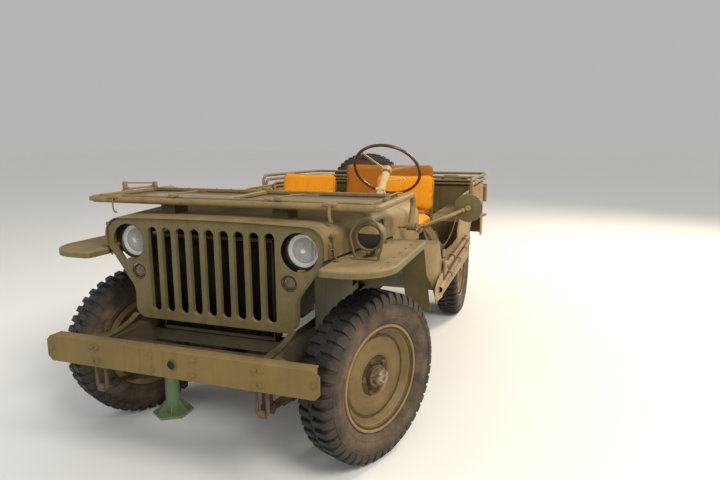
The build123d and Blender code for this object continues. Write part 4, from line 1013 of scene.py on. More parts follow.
SIDES = (1, -1)
HEADLAMP_X, HEADLAMP_Y, HEADLAMP_Z = 392, -1246, 905
MARKER_X, MARKER_Y, MARKER_Z = 347, -1280, 782
BLACKOUT_X, BLACKOUT_Y, BLACKOUT_Z = 625, -1100, 955
BLACKOUT_RADIUS = 45
BROW_LEVEL = 12
BROW_STEPS = 20


class ARMYCAR_OT_headlamps(bpy.types.Operator):
    """Make the headlamps' lenses, reflectors and rings, and the marker lamps"""
    bl_idname = "army_car.headlamps"
    bl_label = "Headlamps"

    def execute(self, context):
        glass, insides, rings, markers = Form(), Form(), Form(), Form()
        for side in SIDES:
            place = forward(side * HEADLAMP_X, HEADLAMP_Y, HEADLAMP_Z)
            glass.lathe([(-1, 66), (3, 64), (8, 52), (12, 34), (14, 16), (14.5, 0), (11.5, 0), (11, 16),
                         (9, 33), (5, 50), (0, 61)], 64, turn=place)
            insides.lathe([(-7.4, 65.8), (-12, 46), (-16, 24), (-19.2, 8), (-19.6, 0)], 64, turn=place)
            insides.lathe([(-19.4, 7), (-12, 7), (-9, 11), (-3, 12), (2, 9), (4, 0)], 24, look=1, turn=place)
            rings.lathe([(-10, 67.5), (-10, 73.6), (2, 75.5), (6, 75), (8, 72), (7, 67), (2, 64.5),
                         (1, 66.5)], 72, True, turn=place)
            spot = forward(side * MARKER_X, MARKER_Y, MARKER_Z)
            markers.lathe([(0.4, 33), (-3, 33.3), (-6, 33), (-6, 27), (0, 26.5), (1.5, 30)], 40, True,
                          turn=spot)
            markers.lathe([(-6, 27.5), (-3, 26), (1, 20), (3.5, 10), (4.2, 0), (0, 0), (-6, 20)], 40, look=1,
                          turn=spot)
        # The glass and the reflectors are painted reflection: pale white instead of clear glass and mirror.
        finish_form(glass, "headlamp_glass", "root", ["lens_glare_glass"], replaces=["lamp_lenses"])
        finish_form(insides, "headlamp_reflectors", "root", ["reflector_glare_white", "mirror_silver"])
        finish_form(rings, "headlamp_rings", "root", ["black_enamel_and_shade"])
        finish_form(markers, "marker_lamps", "root", ["dark_olive_paint", "amber_glass"])
        return {"FINISHED"}


def brow_outline():
    """The part of a circle that lies above the brow's level."""
    edge = math.asin(BROW_LEVEL / BLACKOUT_RADIUS)
    arc = [edge + (math.pi - 2 * edge) * k / BROW_STEPS for k in range(BROW_STEPS + 1)]
    return [(BLACKOUT_RADIUS * math.cos(a), BLACKOUT_RADIUS * math.sin(a)) for a in arc]


class ARMYCAR_OT_blackout_lamp(bpy.types.Operator):
    """Make the blackout lamp's dark glass under its hood"""
    bl_idname = "army_car.blackout_lamp"
    bl_label = "Blackout Lamp"

    def execute(self, context):
        x, y, z = BLACKOUT_X, BLACKOUT_Y, BLACKOUT_Z
        place = forward(x, y, z)
        glass, hood = Form(), Form()
        glass.lathe([(44.4, 0), (44.4, 45), (46, 45), (47.5, 30), (48.5, 0)], turn=place)
        hood.slab(brow_outline(), 5, 1.5, turn=place @ Matrix.Translation((47, 0, 0)) @ FACING_SIDE)
        hood.block((x - 17, y - 22, z - 77), (x + 17, y + 22, z - 53), 4, 1)
        hood.lathe([(0, 19), (36, 14), (44, 13), (44, 0), (0, 0)], 24, look=1, turn=upright(x, y, z - 82.5))
        hood.lathe([(49, 46), (51.5, 50), (51, 55.5), (46, 57.8), (36, 58.6), (36, 57.2), (46, 55.8),
                    (48, 47)], 64, True, 1, place)
        hood.block((x - 5, y - 60, z - 66), (x + 5, y - 44, z - 54), 1, 1)
        finish_form(glass, "blackout_glass", "root", ["dial_face"])
        finish_form(hood, "blackout_hood", "root", ["spotlit_paint", "olive_paint"])
        return {"FINISHED"}


RADIATOR_FRONT, RADIATOR_FACE = -1246, -1240.3
CORE_LOW, CORE_HIGH = 545, 930
CORE_SPAN = 0.511  # in metres, as the fins' step is


class ARMYCAR_OT_radiator(bpy.types.Operator):
    """Make the radiator's fins and tanks behind the grille"""
    bl_idname = "army_car.radiator"
    bl_label = "Radiator"

    def execute(self, context):
        step = context.scene.army_car_sizes.fin_pitch
        fin = Form()
        # The fins and the tanks are dark as painted shade behind the grille.
        fin.block((-256, -1244.5, CORE_LOW), (-255.2, -1240.2, CORE_HIGH), 0)
        fins = grown(fin.plain_mesh("fin", CAR), "Copies in a Row",
                     {"Count": int(CORE_SPAN / step) + 1, "Step": (step, 0, 0),
                      "Material": LOOKS["black_enamel_and_shade"]})
        fins.materials.clear()
        new_piece("radiator_fins", fins, "root", ["black_enamel_and_shade"])
        form = Form()
        for low, high in ((CORE_LOW - 14, CORE_LOW), (CORE_HIGH, CORE_HIGH + 14)):
            form.block((-262, RADIATOR_FRONT - 2, low), (262, RADIATOR_FACE, high), 2)
        for side in SIDES:
            form.block((side * 259 - 3, RADIATOR_FRONT, CORE_LOW),
                       (side * 259 + 3, RADIATOR_FACE, CORE_HIGH), 1)
        form.lathe([(0, 0), (0, 26), (16, 26), (18, 22), (20, 0)], 24, turn=upright(60, -1206, 940))
        finish_form(form, "radiator_tanks", "root", ["grime_and_shade_paint"])
        return {"FINISHED"}


BUMPER_HALF, BUMPER_LOW, BUMPER_HIGH, BUMPER_CUT = 582.6, 466.3, 571.7, 20
BUMPER_BACK = -1549.8
CRANK_Z = 519
CRANK_RADIUS = 17.5
GRILLE_FACE = -1284.6


def bumper_outline():
    """The bumper's face with its corners cut off."""
    half, low, high, cut = BUMPER_HALF, BUMPER_LOW, BUMPER_HIGH, BUMPER_CUT
    return [(-half + cut, low), (half - cut, low), (half, low + cut), (half, high - cut), (half - cut, high),
            (-half + cut, high), (-half, high - cut), (-half, low + cut)]


class ARMYCAR_OT_front_fittings(bpy.types.Operator):
    """Add the bumper's timber and bolts, horn gussets and grille bolts"""
    bl_idname = "army_car.front_fittings"
    bl_label = "Front Fittings"

    def execute(self, context):
        sizes = context.scene.army_car_sizes
        wood = Form()
        wood.block((-556, -1543, 540), (556, -1503, 566), 3)
        finish_form(wood, "bumper_timber", "root", ["block_timber"])
        bar = Form()
        bar.slab(bumper_outline(), 5.5, 1.5, turn=Matrix.Translation((0, BUMPER_BACK, 0)) @ FACING_FRONT)
        flange = BUMPER_HALF - BUMPER_CUT - 3
        for z in (BUMPER_LOW, BUMPER_HIGH - 5):
            bar.block((-flange, -1546, z), (flange, -1500.5, z + 5), 1.5)
        # A black disc on the bumper's face is painted shade standing for the crank hole.
        bar.tube([(0, -1550.3, CRANK_Z), (0, -1541, CRANK_Z)], CRANK_RADIUS, 32, look=1)
        bar.lathe([(0, CRANK_RADIUS), (2, 20), (4, 20.5), (4, CRANK_RADIUS)], 40, True,
                  turn=forward(0, -1549.6, CRANK_Z))
        finish_form(bar, "bumper_channel", "root", ["bumper_paint", "black_enamel_and_shade"],
                    replaces=["front_bumper"])
        plates = Form()
        for side in SIDES:
            outline = [(0, 0), (72, 0), (58, 18), (18, 42), (8, 92), (0, 120)]
            plates.slab([(side * x, y) for x, y in outline], 5, 1,
                        turn=Matrix.Translation((side * 376, -1500, 559)))
            plates.strip([(side * 354, -1500, 563), (side * 357, -1420, 564), (side * 362, -1340, 580),
                          (side * 366, -1291, 600)], oblong(13, -2.5, 2.5), 60)
        finish_form(plates, "horn_gussets", "root", ["dark_olive_paint"])
        spots = ((338, 545), (362, 545), (338, 492), (362, 492), (560, CRANK_Z), (90, 548), (90, 490))
        points = [((side * x, -1550.5, z), (0, -1, 0)) for side in SIDES for x, z in spots]
        heads("bumper_bolts", points, "root", "bumper_paint", sizes.bolt_size * 1.25, 0.009)
        spots = ((355, 600), (200, 594), (60, 594), (480, 850), (315, 870), (460, 962))
        points = [((side * x, GRILLE_FACE, z), (0, -1, 0)) for side in SIDES for x, z in spots]
        heads("grille_bolts", points, "root", "olive_paint",
              sizes.rivet_size * 1.1, 0.004, 10, 1.1)
        return {"FINISHED"}


HINGE_Y = -700
HINGE_FALL = 0.018
HOOD_FRONT, HOOD_LENGTH = -1292, 592
HOOD_HALF_FRONT, HOOD_SPREAD = 502, 98


def hinge_top(x):
    """The height of the hood's hinge, which drops away from the middle."""
    return 1024 - abs(x) * HINGE_FALL


def hood_half(y):
    """Half the hood's width, which grows to the rear."""
    return HOOD_HALF_FRONT + (y - HOOD_FRONT) * HOOD_SPREAD / HOOD_LENGTH


class ARMYCAR_OT_hood_fittings(bpy.types.Operator):
    """Add the hood's hinge, catches, handles and block bolts"""
    bl_idname = "army_car.hood_fittings"
    bl_label = "Hood Fittings"

    def execute(self, context):
        sizes = context.scene.army_car_sizes
        form = Form()
        form.tube([(-540, -699, 1023.5), (540, -699, 1023.5)], 6.5, 14)
        leaves = range(-500, 501, 125)
        for x in leaves:
            z = hinge_top(x)
            form.block((x - 26, HINGE_Y - 38, z), (x + 26, HINGE_Y, z + 3.5), 1)
            form.block((x - 26, HINGE_Y + 2, z + 0.5), (x + 26, HINGE_Y + 38, z + 4), 1)
        for side in SIDES:
            for y in (-1250, -830):
                half = hood_half(y)
                form.block((side * half - 4, y - 22, 884), (side * half + 6, y + 22, 944), 2)
                form.tube([(side * (half + 10), y, 972), (side * (half + 11), y, 930)], 6.5, 12)
                form.block((side * (half + 8) - 9, y - 11, 966), (side * (half + 8) + 9, y + 11, 980), 3)
                form.tube([(side * (half + 12), y, 918), (side * (half + 15), y, 893),
                           (side * (half + 24), y, 878)], 4.5, 10)
                form.tube([(side * (half + 2), y - 14, 922), (side * (half + 13), y - 14, 922),
                           (side * (half + 13), y + 14, 922), (side * (half + 2), y + 14, 922)], 3, 8, 6)
                form.lathe([(0, 0), (0, 9), (14, 8), (16, 0)], 14, turn=upright(side * (half + 20), y, 866))
            form.tube([(side * 120, -705, 1031), (side * 120, -735, 1036), (side * 60, -735, 1036),
                       (side * 60, -705, 1031)], 4, 8, 10)
        finish_form(form, "hood_hinge_and_catches", "root", ["olive_paint"])
        points = [((side * 265 + dx, y, 1056.4), (0, 0, 1))
                  for side in SIDES for dx in (-20, 20) for y in (-1160, -1110)]
        heads("block_bolts", points, "root", "worn_iron", sizes.bolt_size * 0.7, 0.002, 12, 1.4)
        points = [((x + dx, HINGE_Y + dy, hinge_top(x) + 4.2), (0, 0, 1))
                  for x in leaves for dx in (-15, 15) for dy in (-20, 20)]
        heads("hinge_rivets", points, "root", "olive_paint",
              sizes.rivet_size * 0.9, 0.003, 10, 1.0)
        return {"FINISHED"}


SCREEN_Z = 1070


class ARMYCAR_OT_windscreen(bpy.types.Operator):
    """Add the windscreen's rails, seals, wipers, arms and hold-down hooks"""
    bl_idname = "army_car.windscreen"
    bl_label = "Windscreen"

    def execute(self, context):
        form, seals, small = Form(), Form(), Form()
        z = SCREEN_Z
        for low, high in ((-636, -4), (4, 636)):
            loop = [(low, -1160, z + 13), (high, -1160, z + 13), (high, -795, z + 13), (low, -795, z + 13)]
            form.strip(loop + [loop[0]], [(-9, -5), (9, -5), (9, 3), (6, 6), (-6, 6), (-9, 3)])
            inner = [(low + 14, -1146, z), (high - 14, -1146, z), (high - 14, -809, z), (low + 14, -809, z)]
            seals.strip(inner + [inner[0]], oblong(4, -5, 6))
        form.block((-655, -1196, z + 9), (655, -1160, z + 12), 1)
        form.block((-650, -782, z - 11), (650, -770, z + 11), 2)
        seals.block((-648, -771, z - 7), (648, -767, z + 7), 1.5)
        for side in SIDES:
            form.block((side * 648 - 9, -1010, z + 8), (side * 648 + 9, -950, z + 22), 2)
            form.tube([(side * 648, -980, z + 24), (side * 648, -800, z + 26), (side * 655, -760, z + 20)],
                      4, 8, 20)
            form.lathe([(0, 0), (0, 10), (10, 9), (12, 0)], 16, turn=upright(side * 648, -980, z + 22))
            hook_x, thick = (487, 6.5) if side > 0 else (-524, 3.2)
            small.block((hook_x - 26, -1216, z + 6), (hook_x + 26, -1186, z + 19), 4)
            small.tube([(hook_x, -1213, z + 8), (hook_x + 2, -1216, z - 30), (hook_x + 6, -1214, z - 52),
                        (hook_x + 6, -1200, z - 55)], thick, 10, 8)
            wiper = side * 250
            small.lathe([(0, 0), (0, 13), (12, 12), (16, 6), (16, 0)], 20, turn=upright(wiper, -1172, z + 18))
            small.tube([(wiper, -1172, z + 30), (wiper + side * 6, -1060, z + 27),
                        (wiper + side * 20, -960, z + 23)], 3, 8, 20)
            small.strip([(wiper - side * 40, -980, z + 19), (wiper + side * 80, -935, z + 19)],
                        oblong(2, -4, 5))
            small.tube([(wiper, -1172, z + 12), (wiper - side * 50, -1188, z + 26)], 3.4, 8)
        small.block((-24, -800, z + 18), (24, -780, z + 30), 3)
        small.block((-661, -1000, z + 6), (-649, -976, z + 62), 2.5)
        small.tube([(-655, -990, z + 56), (-634, -800, z + 42)], 3.6, 8)
        small.tube([(-655, -986, z + 30), (-640, -800, z + 22)], 3.6, 8)
        small.block((-646, -812, z + 8), (-628, -790, z + 48), 2.5)
        finish_form(form, "windscreen_rails", "screen", ["warm_lit_paint"])
        finish_form(seals, "windscreen_seals", "screen", ["plain_rubber"])
        finish_form(small, "windscreen_wipers_and_hooks", "screen", ["warm_lit_paint"])
        sizes = context.scene.army_car_sizes
        points = [((x, -1178, z + 12.4), (0, 0, 1)) for x in range(-620, 621, 62)]
        points += [((x, -788, z + 19.4), (0, 0, 1)) for x in range(-600, 601, 80)]
        heads("windscreen_screws", points, "screen", "warm_lit_paint",
              sizes.rivet_size * 0.8, 0.003, 10, 1.0)
        clamps = Form()
        for side in SIDES:
            place = standing(side * 695, -650, 922, (side, 0, 0))
            clamps.lathe([(-2, 0), (-2, 20), (4, 20), (6, 14), (6, 8), (14, 7), (14, 0)], 20, turn=place)
            clamps.block((8, -24, -3), (13, 24, 3), 2, turn=place)
        finish_form(clamps, "windscreen_pivot_nuts", "root", ["worn_iron"])
        return {"FINISHED"}


# Seats

PRESSURE = 4.0
STIFFNESS = 18.0
BENDING = 1.5
CLOTH_FRAMES = 20
UNDERSIDE_CAP = 0.002
UNDERSIDE_HEIGHT = 0.004


def swelled(mesh, cap, name):
    """A cover blown up by its stuffing: cloth under pressure, its movement limited and its underside held."""
    scene = bpy.context.scene
    holder = new_holder(name + "_start", mesh)
    remesh = holder.modifiers.new("even", "REMESH")
    remesh.mode, remesh.voxel_size = "VOXEL", scene.army_car_sizes.cloth_step
    even = evaluated_mesh(holder)
    bpy.data.objects.remove(holder)
    cover = new_holder(name + "_cover", even)
    cloth = cover.modifiers.new("cloth", "CLOTH")
    settings = cloth.settings
    settings.use_pressure, settings.uniform_pressure_force = True, PRESSURE
    settings.effector_weights.gravity = 0.0
    settings.quality, settings.mass = 4, 0.3
    settings.tension_stiffness = settings.compression_stiffness = STIFFNESS
    settings.bending_stiffness = BENDING
    cloth.point_cache.frame_start, cloth.point_cache.frame_end = 1, CLOTH_FRAMES
    scene.frame_start, scene.frame_end = 1, CLOTH_FRAMES
    for step in range(1, CLOTH_FRAMES + 1):
        scene.frame_set(step)
    blown = evaluated_mesh(cover)
    for before, after in zip(even.vertices, blown.vertices):
        move = after.co - before.co
        limit = UNDERSIDE_CAP if before.co.z < UNDERSIDE_HEIGHT else cap
        if move.length > limit:
            move *= limit / move.length
        after.co = before.co + move
    bpy.data.objects.remove(cover)
    scene.frame_set(1)
    return blown


PAD_LEVELS = 8
SEAM_STEP = 12
SEAM_REACH = 15
SEAM_LIFT = 0.0004


def pad_rows(width, depth, thick, corner, edge, crown):
    """Rows of a crowned pad: width along X, depth along Y, thickness along Z from 0."""
    rows = []
    for level in range(PAD_LEVELS + 1):
        share = level / PAD_LEVELS * 2 - 1
        inset = edge * (1 - math.sqrt(max(0.0, 1 - abs(share) ** 3)))
        outline = round_cornered(width / 2 - inset, depth / 2 - inset, max(4.0, corner - inset))
        rows.append([(x, y, thick * level / PAD_LEVELS) for x, y in outline])
    top = rows[-1]
    for shrink in (0.75, 0.45, 0.12):
        rows.append([(x * shrink, y * shrink, thick + crown * (1 - shrink ** 2)) for x, y, _ in top])
    return rows


def welt_path(surface, outline, level):
    """Points on a pad's surface at one level all round, in millimetres."""
    path = []
    for (x0, y0), (x1, y1) in zip(outline, outline[1:] + outline[:1]):
        count = max(1, int(math.hypot(x1 - x0, y1 - y0) / SEAM_STEP))
        for i in range(count):
            aim = Vector((x0 + (x1 - x0) * i / count, y0 + (y1 - y0) * i / count, level)) * 0.001
            hit, normal, _, _ = surface.find_nearest(aim)
            path.append((hit + normal * SEAM_LIFT) * 1000)
    return path


def make_pad(name, width, depth, thick, place, corner, edge, crown, cap):
    """A stuffed seat pad, and the welts along its two seams."""
    start = Form()
    start.take(skin(pad_rows(width, depth, thick, corner, edge, crown)))
    mesh = swelled(start.plain_mesh(name + "_start", Matrix.Scale(0.001, 4)), cap, name)
    surface = BVHTree.FromPolygons([vert.co.copy() for vert in mesh.vertices],
                                   [tuple(face.vertices) for face in mesh.polygons])
    outline = round_cornered(width / 2 + SEAM_REACH, depth / 2 + SEAM_REACH, corner + SEAM_REACH)
    radius = bpy.context.scene.army_car_sizes.seam_size * 500
    seam = Form()
    for level in (thick * 0.86, thick * 0.2):
        seam.tube(welt_path(surface, outline, level), radius, 8, closed=True)
    welt = seam.plain_mesh(name + "_seam", place @ Matrix.Scale(0.001, 4))
    shade(welt, 60)
    mesh.transform(place)
    mesh.materials.clear()
    mesh.polygons.foreach_set("use_smooth", [True] * len(mesh.polygons))
    return mesh, welt


# Name, width, depth, thickness, centre of the underside, the ways that depth and thickness go, corner, edge,
# crown, how far it may swell, and the node it replaces.
FRONT_BACK_WAYS = (0, -0.237, -0.971), (0, -0.971, 0.237)
REAR_BACK_WAYS = (0, -0.124, -0.992), (0, -0.992, 0.124)
LEVEL_WAYS = (0, 1, 0), (0, 0, 1)
SEATS = [
    ("cushion_left", 410, 388, 50, (355, 238, 778), *LEVEL_WAYS, 42, 20, 6, 0.014, "seat_cushions"),
    ("cushion_right", 410, 388, 50, (-355, 238, 778), *LEVEL_WAYS, 42, 20, 6, 0.014, None),
    ("cushion_rear", 768, 348, 58, (0, 1112, 732), *LEVEL_WAYS, 42, 22, 8, 0.016, None),
    ("back_left", 410, 244, 46, (355, 493, 968), *FRONT_BACK_WAYS, 46, 18, 5, 0.012, "seat_backs"),
    ("back_right", 410, 244, 46, (-355, 493, 968), *FRONT_BACK_WAYS, 46, 18, 5, 0.012, None),
    ("back_rear", 768, 306, 46, (0, 1358, 970), *REAR_BACK_WAYS, 44, 18, 5, 0.012, None),
]


class ARMYCAR_OT_seats(bpy.types.Operator):
    """Make the canvas cushions and backs, swelled by simulation, with their welts"""
    bl_idname = "army_car.seats"
    bl_label = "Seats"

    def execute(self, context):
        for name, width, depth, thick, centre, deep, up, corner, edge, crown, cap, node in SEATS:
            deep, up = Vector(deep).normalized(), Vector(up).normalized()
            turn = Matrix((deep.cross(up), deep, up)).transposed().to_4x4()
            place = Matrix.Translation(at(*centre)) @ turn
            mesh, welt = make_pad(name, width, depth, thick, place, corner, edge, crown, cap)
            # The rear bench gets the darker canvas as painted shadow.
            look = "painted_shadow_canvas" if "rear" in name else "seat_canvas"
            piece = new_piece(name, mesh, "root", [look], [node] if node else [])
            finer = piece.modifiers.new("finer", "SUBSURF")
            finer.levels = finer.render_levels = 1
            new_piece(name + "_welt", welt, "root", ["seam_canvas"])
        return {"FINISHED"}


# Driving gear

COLUMN = joint_point("steering_wheel_turn")
COLUMN_WAY = Vector(joints["steering_wheel_turn"]["axis"]).normalized()


def column_place():
    """The steering wheel's own axes: lathes about X run up the column, from the hub."""
    across = Vector((1, 0, 0))
    turn = Matrix((COLUMN_WAY, across, COLUMN_WAY.cross(across))).transposed().to_4x4()
    return Matrix.Translation(COLUMN) @ turn @ Matrix.Scale(0.001, 4)


RIM_RADIUS = 204
GRIP_COUNT = 40
FIRST_SPOKE = -108


class ARMYCAR_OT_steering(bpy.types.Operator):
    """Make the steering wheel's rim, spokes and hub, and the column's sleeve"""
    bl_idname = "army_car.steering"
    bl_label = "Steering"

    def execute(self, context):
        rim = Form()
        rim.tube([(0, y, z) for y, z in circle(RIM_RADIUS, 96)], 9.4, 16, closed=True)
        for k in range(GRIP_COUNT):
            turn = Matrix.Rotation(2 * math.pi * (k + 0.5) / GRIP_COUNT, 4, "X")
            rim.block((-11, -4, -1.3), (-7.5, 4, 1.3), 1, turn=turn @ Matrix.Translation((0, 0, RIM_RADIUS)))
        finish_form(rim, "steering_rim", "steering_wheel", ["moulded_rim"], column_place(),
                    ["steering_wheel"])
        spokes = Form()
        for k in range(3):
            a = math.radians(FIRST_SPOKE + 120 * k)
            way = Vector((0, math.cos(a), -math.sin(a)))
            aside = Vector((0, math.sin(a), math.cos(a)))
            for shift in (-3.4, 3.4):
                spokes.tube([way * 24 + aside * shift + Vector((-4, 0, 0)), way * 200 + aside * shift],
                            3.2, 10)
        spokes.lathe([(-14, 10), (-14, 26), (-6, 31), (2, 32), (8, 28), (11, 20), (12, 14)], 40)
        spokes.lathe([(12, 0), (12, 21), (15, 23), (19, 21), (21, 12), (21.5, 0)], 40)
        spokes.lathe([(-14, 0), (-14, 12), (-30, 15), (-30, 10)], 32)
        finish_form(spokes, "steering_spokes", "steering_wheel", ["cream_enamel"],
                    column_place())
        sleeve = Form()
        sleeve.lathe([(-452, 20.3), (-452, 21.6), (-60, 21.6), (-52, 24), (-34, 24.5), (-34, 20.3)], 32, True)
        sleeve.tube([(-90, 24, 0), (-88, 60, -6), (-84, 118, -12)], 3.4, 8, 20)
        sleeve.lathe([(0, 0), (4, 7), (10, 8), (16, 5), (18, 0)], 14,
                     turn=Matrix.Translation((-90, 124, -12)))
        sleeve.block((-190, -27, -27), (-170, 27, 30), 4)
        finish_form(sleeve, "column_sleeve", "root", ["cream_enamel"], column_place())
        return {"FINISHED"}


DASH_FACE = -455.8
LARGE_DIAL = 42
DIAL_SWEEP = 260
DASH_LOOKS = ["olive_paint", "dial_face", "clear_glass", "cream_enamel", "worn_iron"]
PAINTED, FACE, GLASS, MARK, PLATE = range(len(DASH_LOOKS))


def add_dial(form, x, z, r):
    """A dial with its ring, face, glass, ticks and needle."""
    place = rearward(x, DASH_FACE, z)
    form.lathe([(0, r), (6, r + 1.5), (9, r), (9, r - 4), (5, r - 5), (0, r - 5)], 40, True, PAINTED, place)
    form.lathe([(0, 0), (0, r - 4), (2.5, r - 4), (2.5, 0)], 40, False, FACE, place)
    form.lathe([(5.5, 0), (5.5, r - 4.6), (6.6, r - 4.6), (7.4, 0)], 40, False, GLASS, place)
    steps = 8 if r == LARGE_DIAL else 4
    for k in range(steps + 1):
        angle = math.radians(-DIAL_SWEEP / 2 + k * DIAL_SWEEP / steps)
        tick = Matrix.Rotation(angle, 4, "X") @ Matrix.Translation((0, 0, r * 0.72))
        form.block((2.5, -0.7, -3), (3.2, 0.7, 3), 0.2, MARK, place @ tick)
    needle = Matrix.Rotation(0.6 + r * 0.1, 4, "X")
    form.block((3.3, -0.9, -4), (4, 0.9, r * 0.62), 0.3, MARK, place @ needle)


class ARMYCAR_OT_dash(bpy.types.Operator):
    """Make the dash's dials, knobs, plates and grab handle"""
    bl_idname = "army_car.dash"
    bl_label = "Dash"

    def execute(self, context):
        form = Form()
        back = DASH_FACE
        for x, z, r in ((30, 925, LARGE_DIAL), (-62, 950, 25), (-62, 894, 25), (122, 950, 25),
                        (122, 894, 25)):
            add_dial(form, x, z, r)
        for x, z in ((190, 905), (226, 905), (262, 905), (190, 950), (-120, 900), (-156, 900), (-120, 945)):
            form.lathe([(0, 4), (10, 4), (11, 9), (19, 10), (22, 7), (22, 0)], 20, False, FACE,
                       rearward(x, back, z))
        for x, z, w, h in ((-300, 925, 90, 58), (-430, 925, 70, 50), (-200, 925, 50, 70)):
            form.block((x - w / 2, back, z - h / 2), (x + w / 2, back + 1.8, z + h / 2), 0.8, PLATE)
        form.tube([(-560, back + 2, 960), (-560, back + 34, 966), (-360, back + 34, 966),
                   (-360, back + 2, 960)], 7, 12, 16)
        finish_form(form, "dash_instruments", "root", DASH_LOOKS)
        return {"FINISHED"}


FLOOR_TOP = 562.2


class ARMYCAR_OT_controls(bpy.types.Operator):
    """Add pedal ribs, lever knobs, boots and the floor's fittings"""
    bl_idname = "army_car.controls"
    bl_label = "Controls"

    def execute(self, context):
        form = Form()
        for x, y, z, r in ((30, -120, 940, 22), (-60, -230, 800, 18), (-110, -230, 800, 18)):
            arc = [(-r * math.cos(math.pi * k / 8), r * math.sin(math.pi * k / 8)) for k in range(1, 8)]
            form.lathe([(-r, 0), *arc, (r, 0)], 24, turn=upright(x, y, z))
        for x in (250, 335, 430):
            place = Matrix.Translation((x, -470, 700)) @ Matrix.Rotation(math.radians(40), 4, "X")
            for low in range(-28, 25, 13):
                form.block((-29, low, 4), (29, low + 6, 6.5), 1, 1, place)
        for x, y in ((30, -330), (-60, -300), (-110, -300)):
            form.lathe([(0, 30), (6, 29), (10, 24), (16, 25), (22, 18), (30, 19), (38, 10), (38, 7), (0, 8)],
                       28, True, 1, standing(x, y, 574, (0, 0.25, 1), (1, 0, 0)))
        finish_form(form, "lever_knobs_and_pads", "root", ["black_enamel_and_shade", "plain_rubber"])
        plates = Form()
        plates.block((-170, -392, FLOOR_TOP), (150, -150, 566), 1.5)
        for x in (-520, -380, -260, 240, 380, 520):
            plates.block((x - 9, -380, FLOOR_TOP), (x + 9, 540, 566.5), 2)
        for x in (-360, -180, 0, 180, 360):
            plates.block((x - 9, 600, FLOOR_TOP), (x + 9, 1540, 566.5), 2)
        for side in SIDES:
            plates.block((side * 590 - 45, -60, FLOOR_TOP), (side * 590 + 45, 30, 572), 3)
        finish_form(plates, "floor_ribs", "root", ["olive_paint"])
        return {"FINISHED"}


# Body

def grab_handle(form, points):
    """A bent handle with a round foot at each end."""
    form.tube(points, 6.5, 12, 14)
    for end, near in ((points[0], points[1]), (points[-1], points[-2])):
        way = (Vector(near) - Vector(end)).normalized()
        up = (0, 0, 1) if abs(way.z) < 0.9 else (1, 0, 0)
        form.lathe([(0, 0), (0, 15), (3, 14), (4, 0)], 16, turn=standing(*end, way, up))


SIDE_X = 773
SIDE_FACE = 775.4
WHEEL_Y = 1016
ARCH_RIVETS = 16
FENDER_TOP = 872.3


def sideways(side, points):
    """Points given for the left side, on either side of the car."""
    return [(side * x, y, z) for x, y, z in points]


def side_edges(form, side):
    """The rolled edges round the door, the tub's top and the rear wheel's arch."""
    top = [(-395, 709), (40, 709), (118, 742), (262, 952), (330, 982), (1500, 982)]
    form.tube([(side * SIDE_X, y, z) for y, z in top], 6, 12, 60)
    form.tube(sideways(side, [(SIDE_X, 1500, 982), (748, 1562, 982), (700, 1568, 982)]), 6, 12, 40)
    arch = [(628, 532), (668, 545), (672, 700), (730, 757), (790, 762), (1240, 762), (1302, 757), (1362, 700),
            (1366, 560), (1400, 546)]
    form.tube([(side * SIDE_X, y, z) for y, z in arch], 5, 10, 60)


def side_handles(form, side):
    """The lifting handles, the lashing loops and the ends of the safety strap."""
    grab_handle(form, sideways(side, [(776, 900, 880), (806, 905, 885), (806, 1085, 885), (776, 1090, 880)]))
    grab_handle(form, sideways(side, [(776, 1450, 700), (804, 1450, 706), (804, 1540, 706),
                                      (776, 1540, 700)]))
    for y in (470, 820, 1180, 1480):
        loop = [(776, y - 22, 945), (786, y - 20, 945), (786, y + 20, 945), (776, y + 22, 945)]
        form.tube(sideways(side, loop), 3, 8, 5)
    for y in (-380, 110):
        form.block((side * 779 - 4, y - 14, 728), (side * 779 + 4, y + 14, 768), 1.5)


def side_straps(straps, side):
    """The safety strap across the door and two loose straps behind the near pillar."""
    straps.strip(sideways(side, [(779, 120, 762), (782, 60, 735), (783, -120, 726), (782, -330, 735),
                                 (779, -392, 752)]), oblong(1.2, -20, 20), 60)
    straps.strip(sideways(side, [(690, -424, 900), (712, -392, 858), (735, -330, 790), (742, -230, 742),
                                 (738, -90, 735), (744, 60, 770), (756, 190, 862), (762, 262, 925)]),
                 oblong(1.4, -19, 19), 70)
    straps.strip(sideways(side, [(684, -420, 880), (700, -380, 812), (690, -330, 806), (708, -300, 850),
                                 (716, -262, 800), (700, -230, 762)]), oblong(1.4, -15, 15), 26)


def side_rivets(side):
    """Rivets by the loops, under the door and round the rear wheel's arch."""
    spots = [(y + dy, 945) for y in (470, 820, 1180, 1480) for dy in (-30, 30)]
    spots += [(-330 + k * 28, 560) for k in range(14)]
    for k in range(ARCH_RIVETS):
        a = math.pi * k / (ARCH_RIVETS - 1)
        spots.append((WHEEL_Y - 372 * math.cos(a), 560 + 222 * math.sin(a) ** 0.6))
    return [((side * SIDE_FACE, y, z), (side, 0, 0)) for y, z in spots]


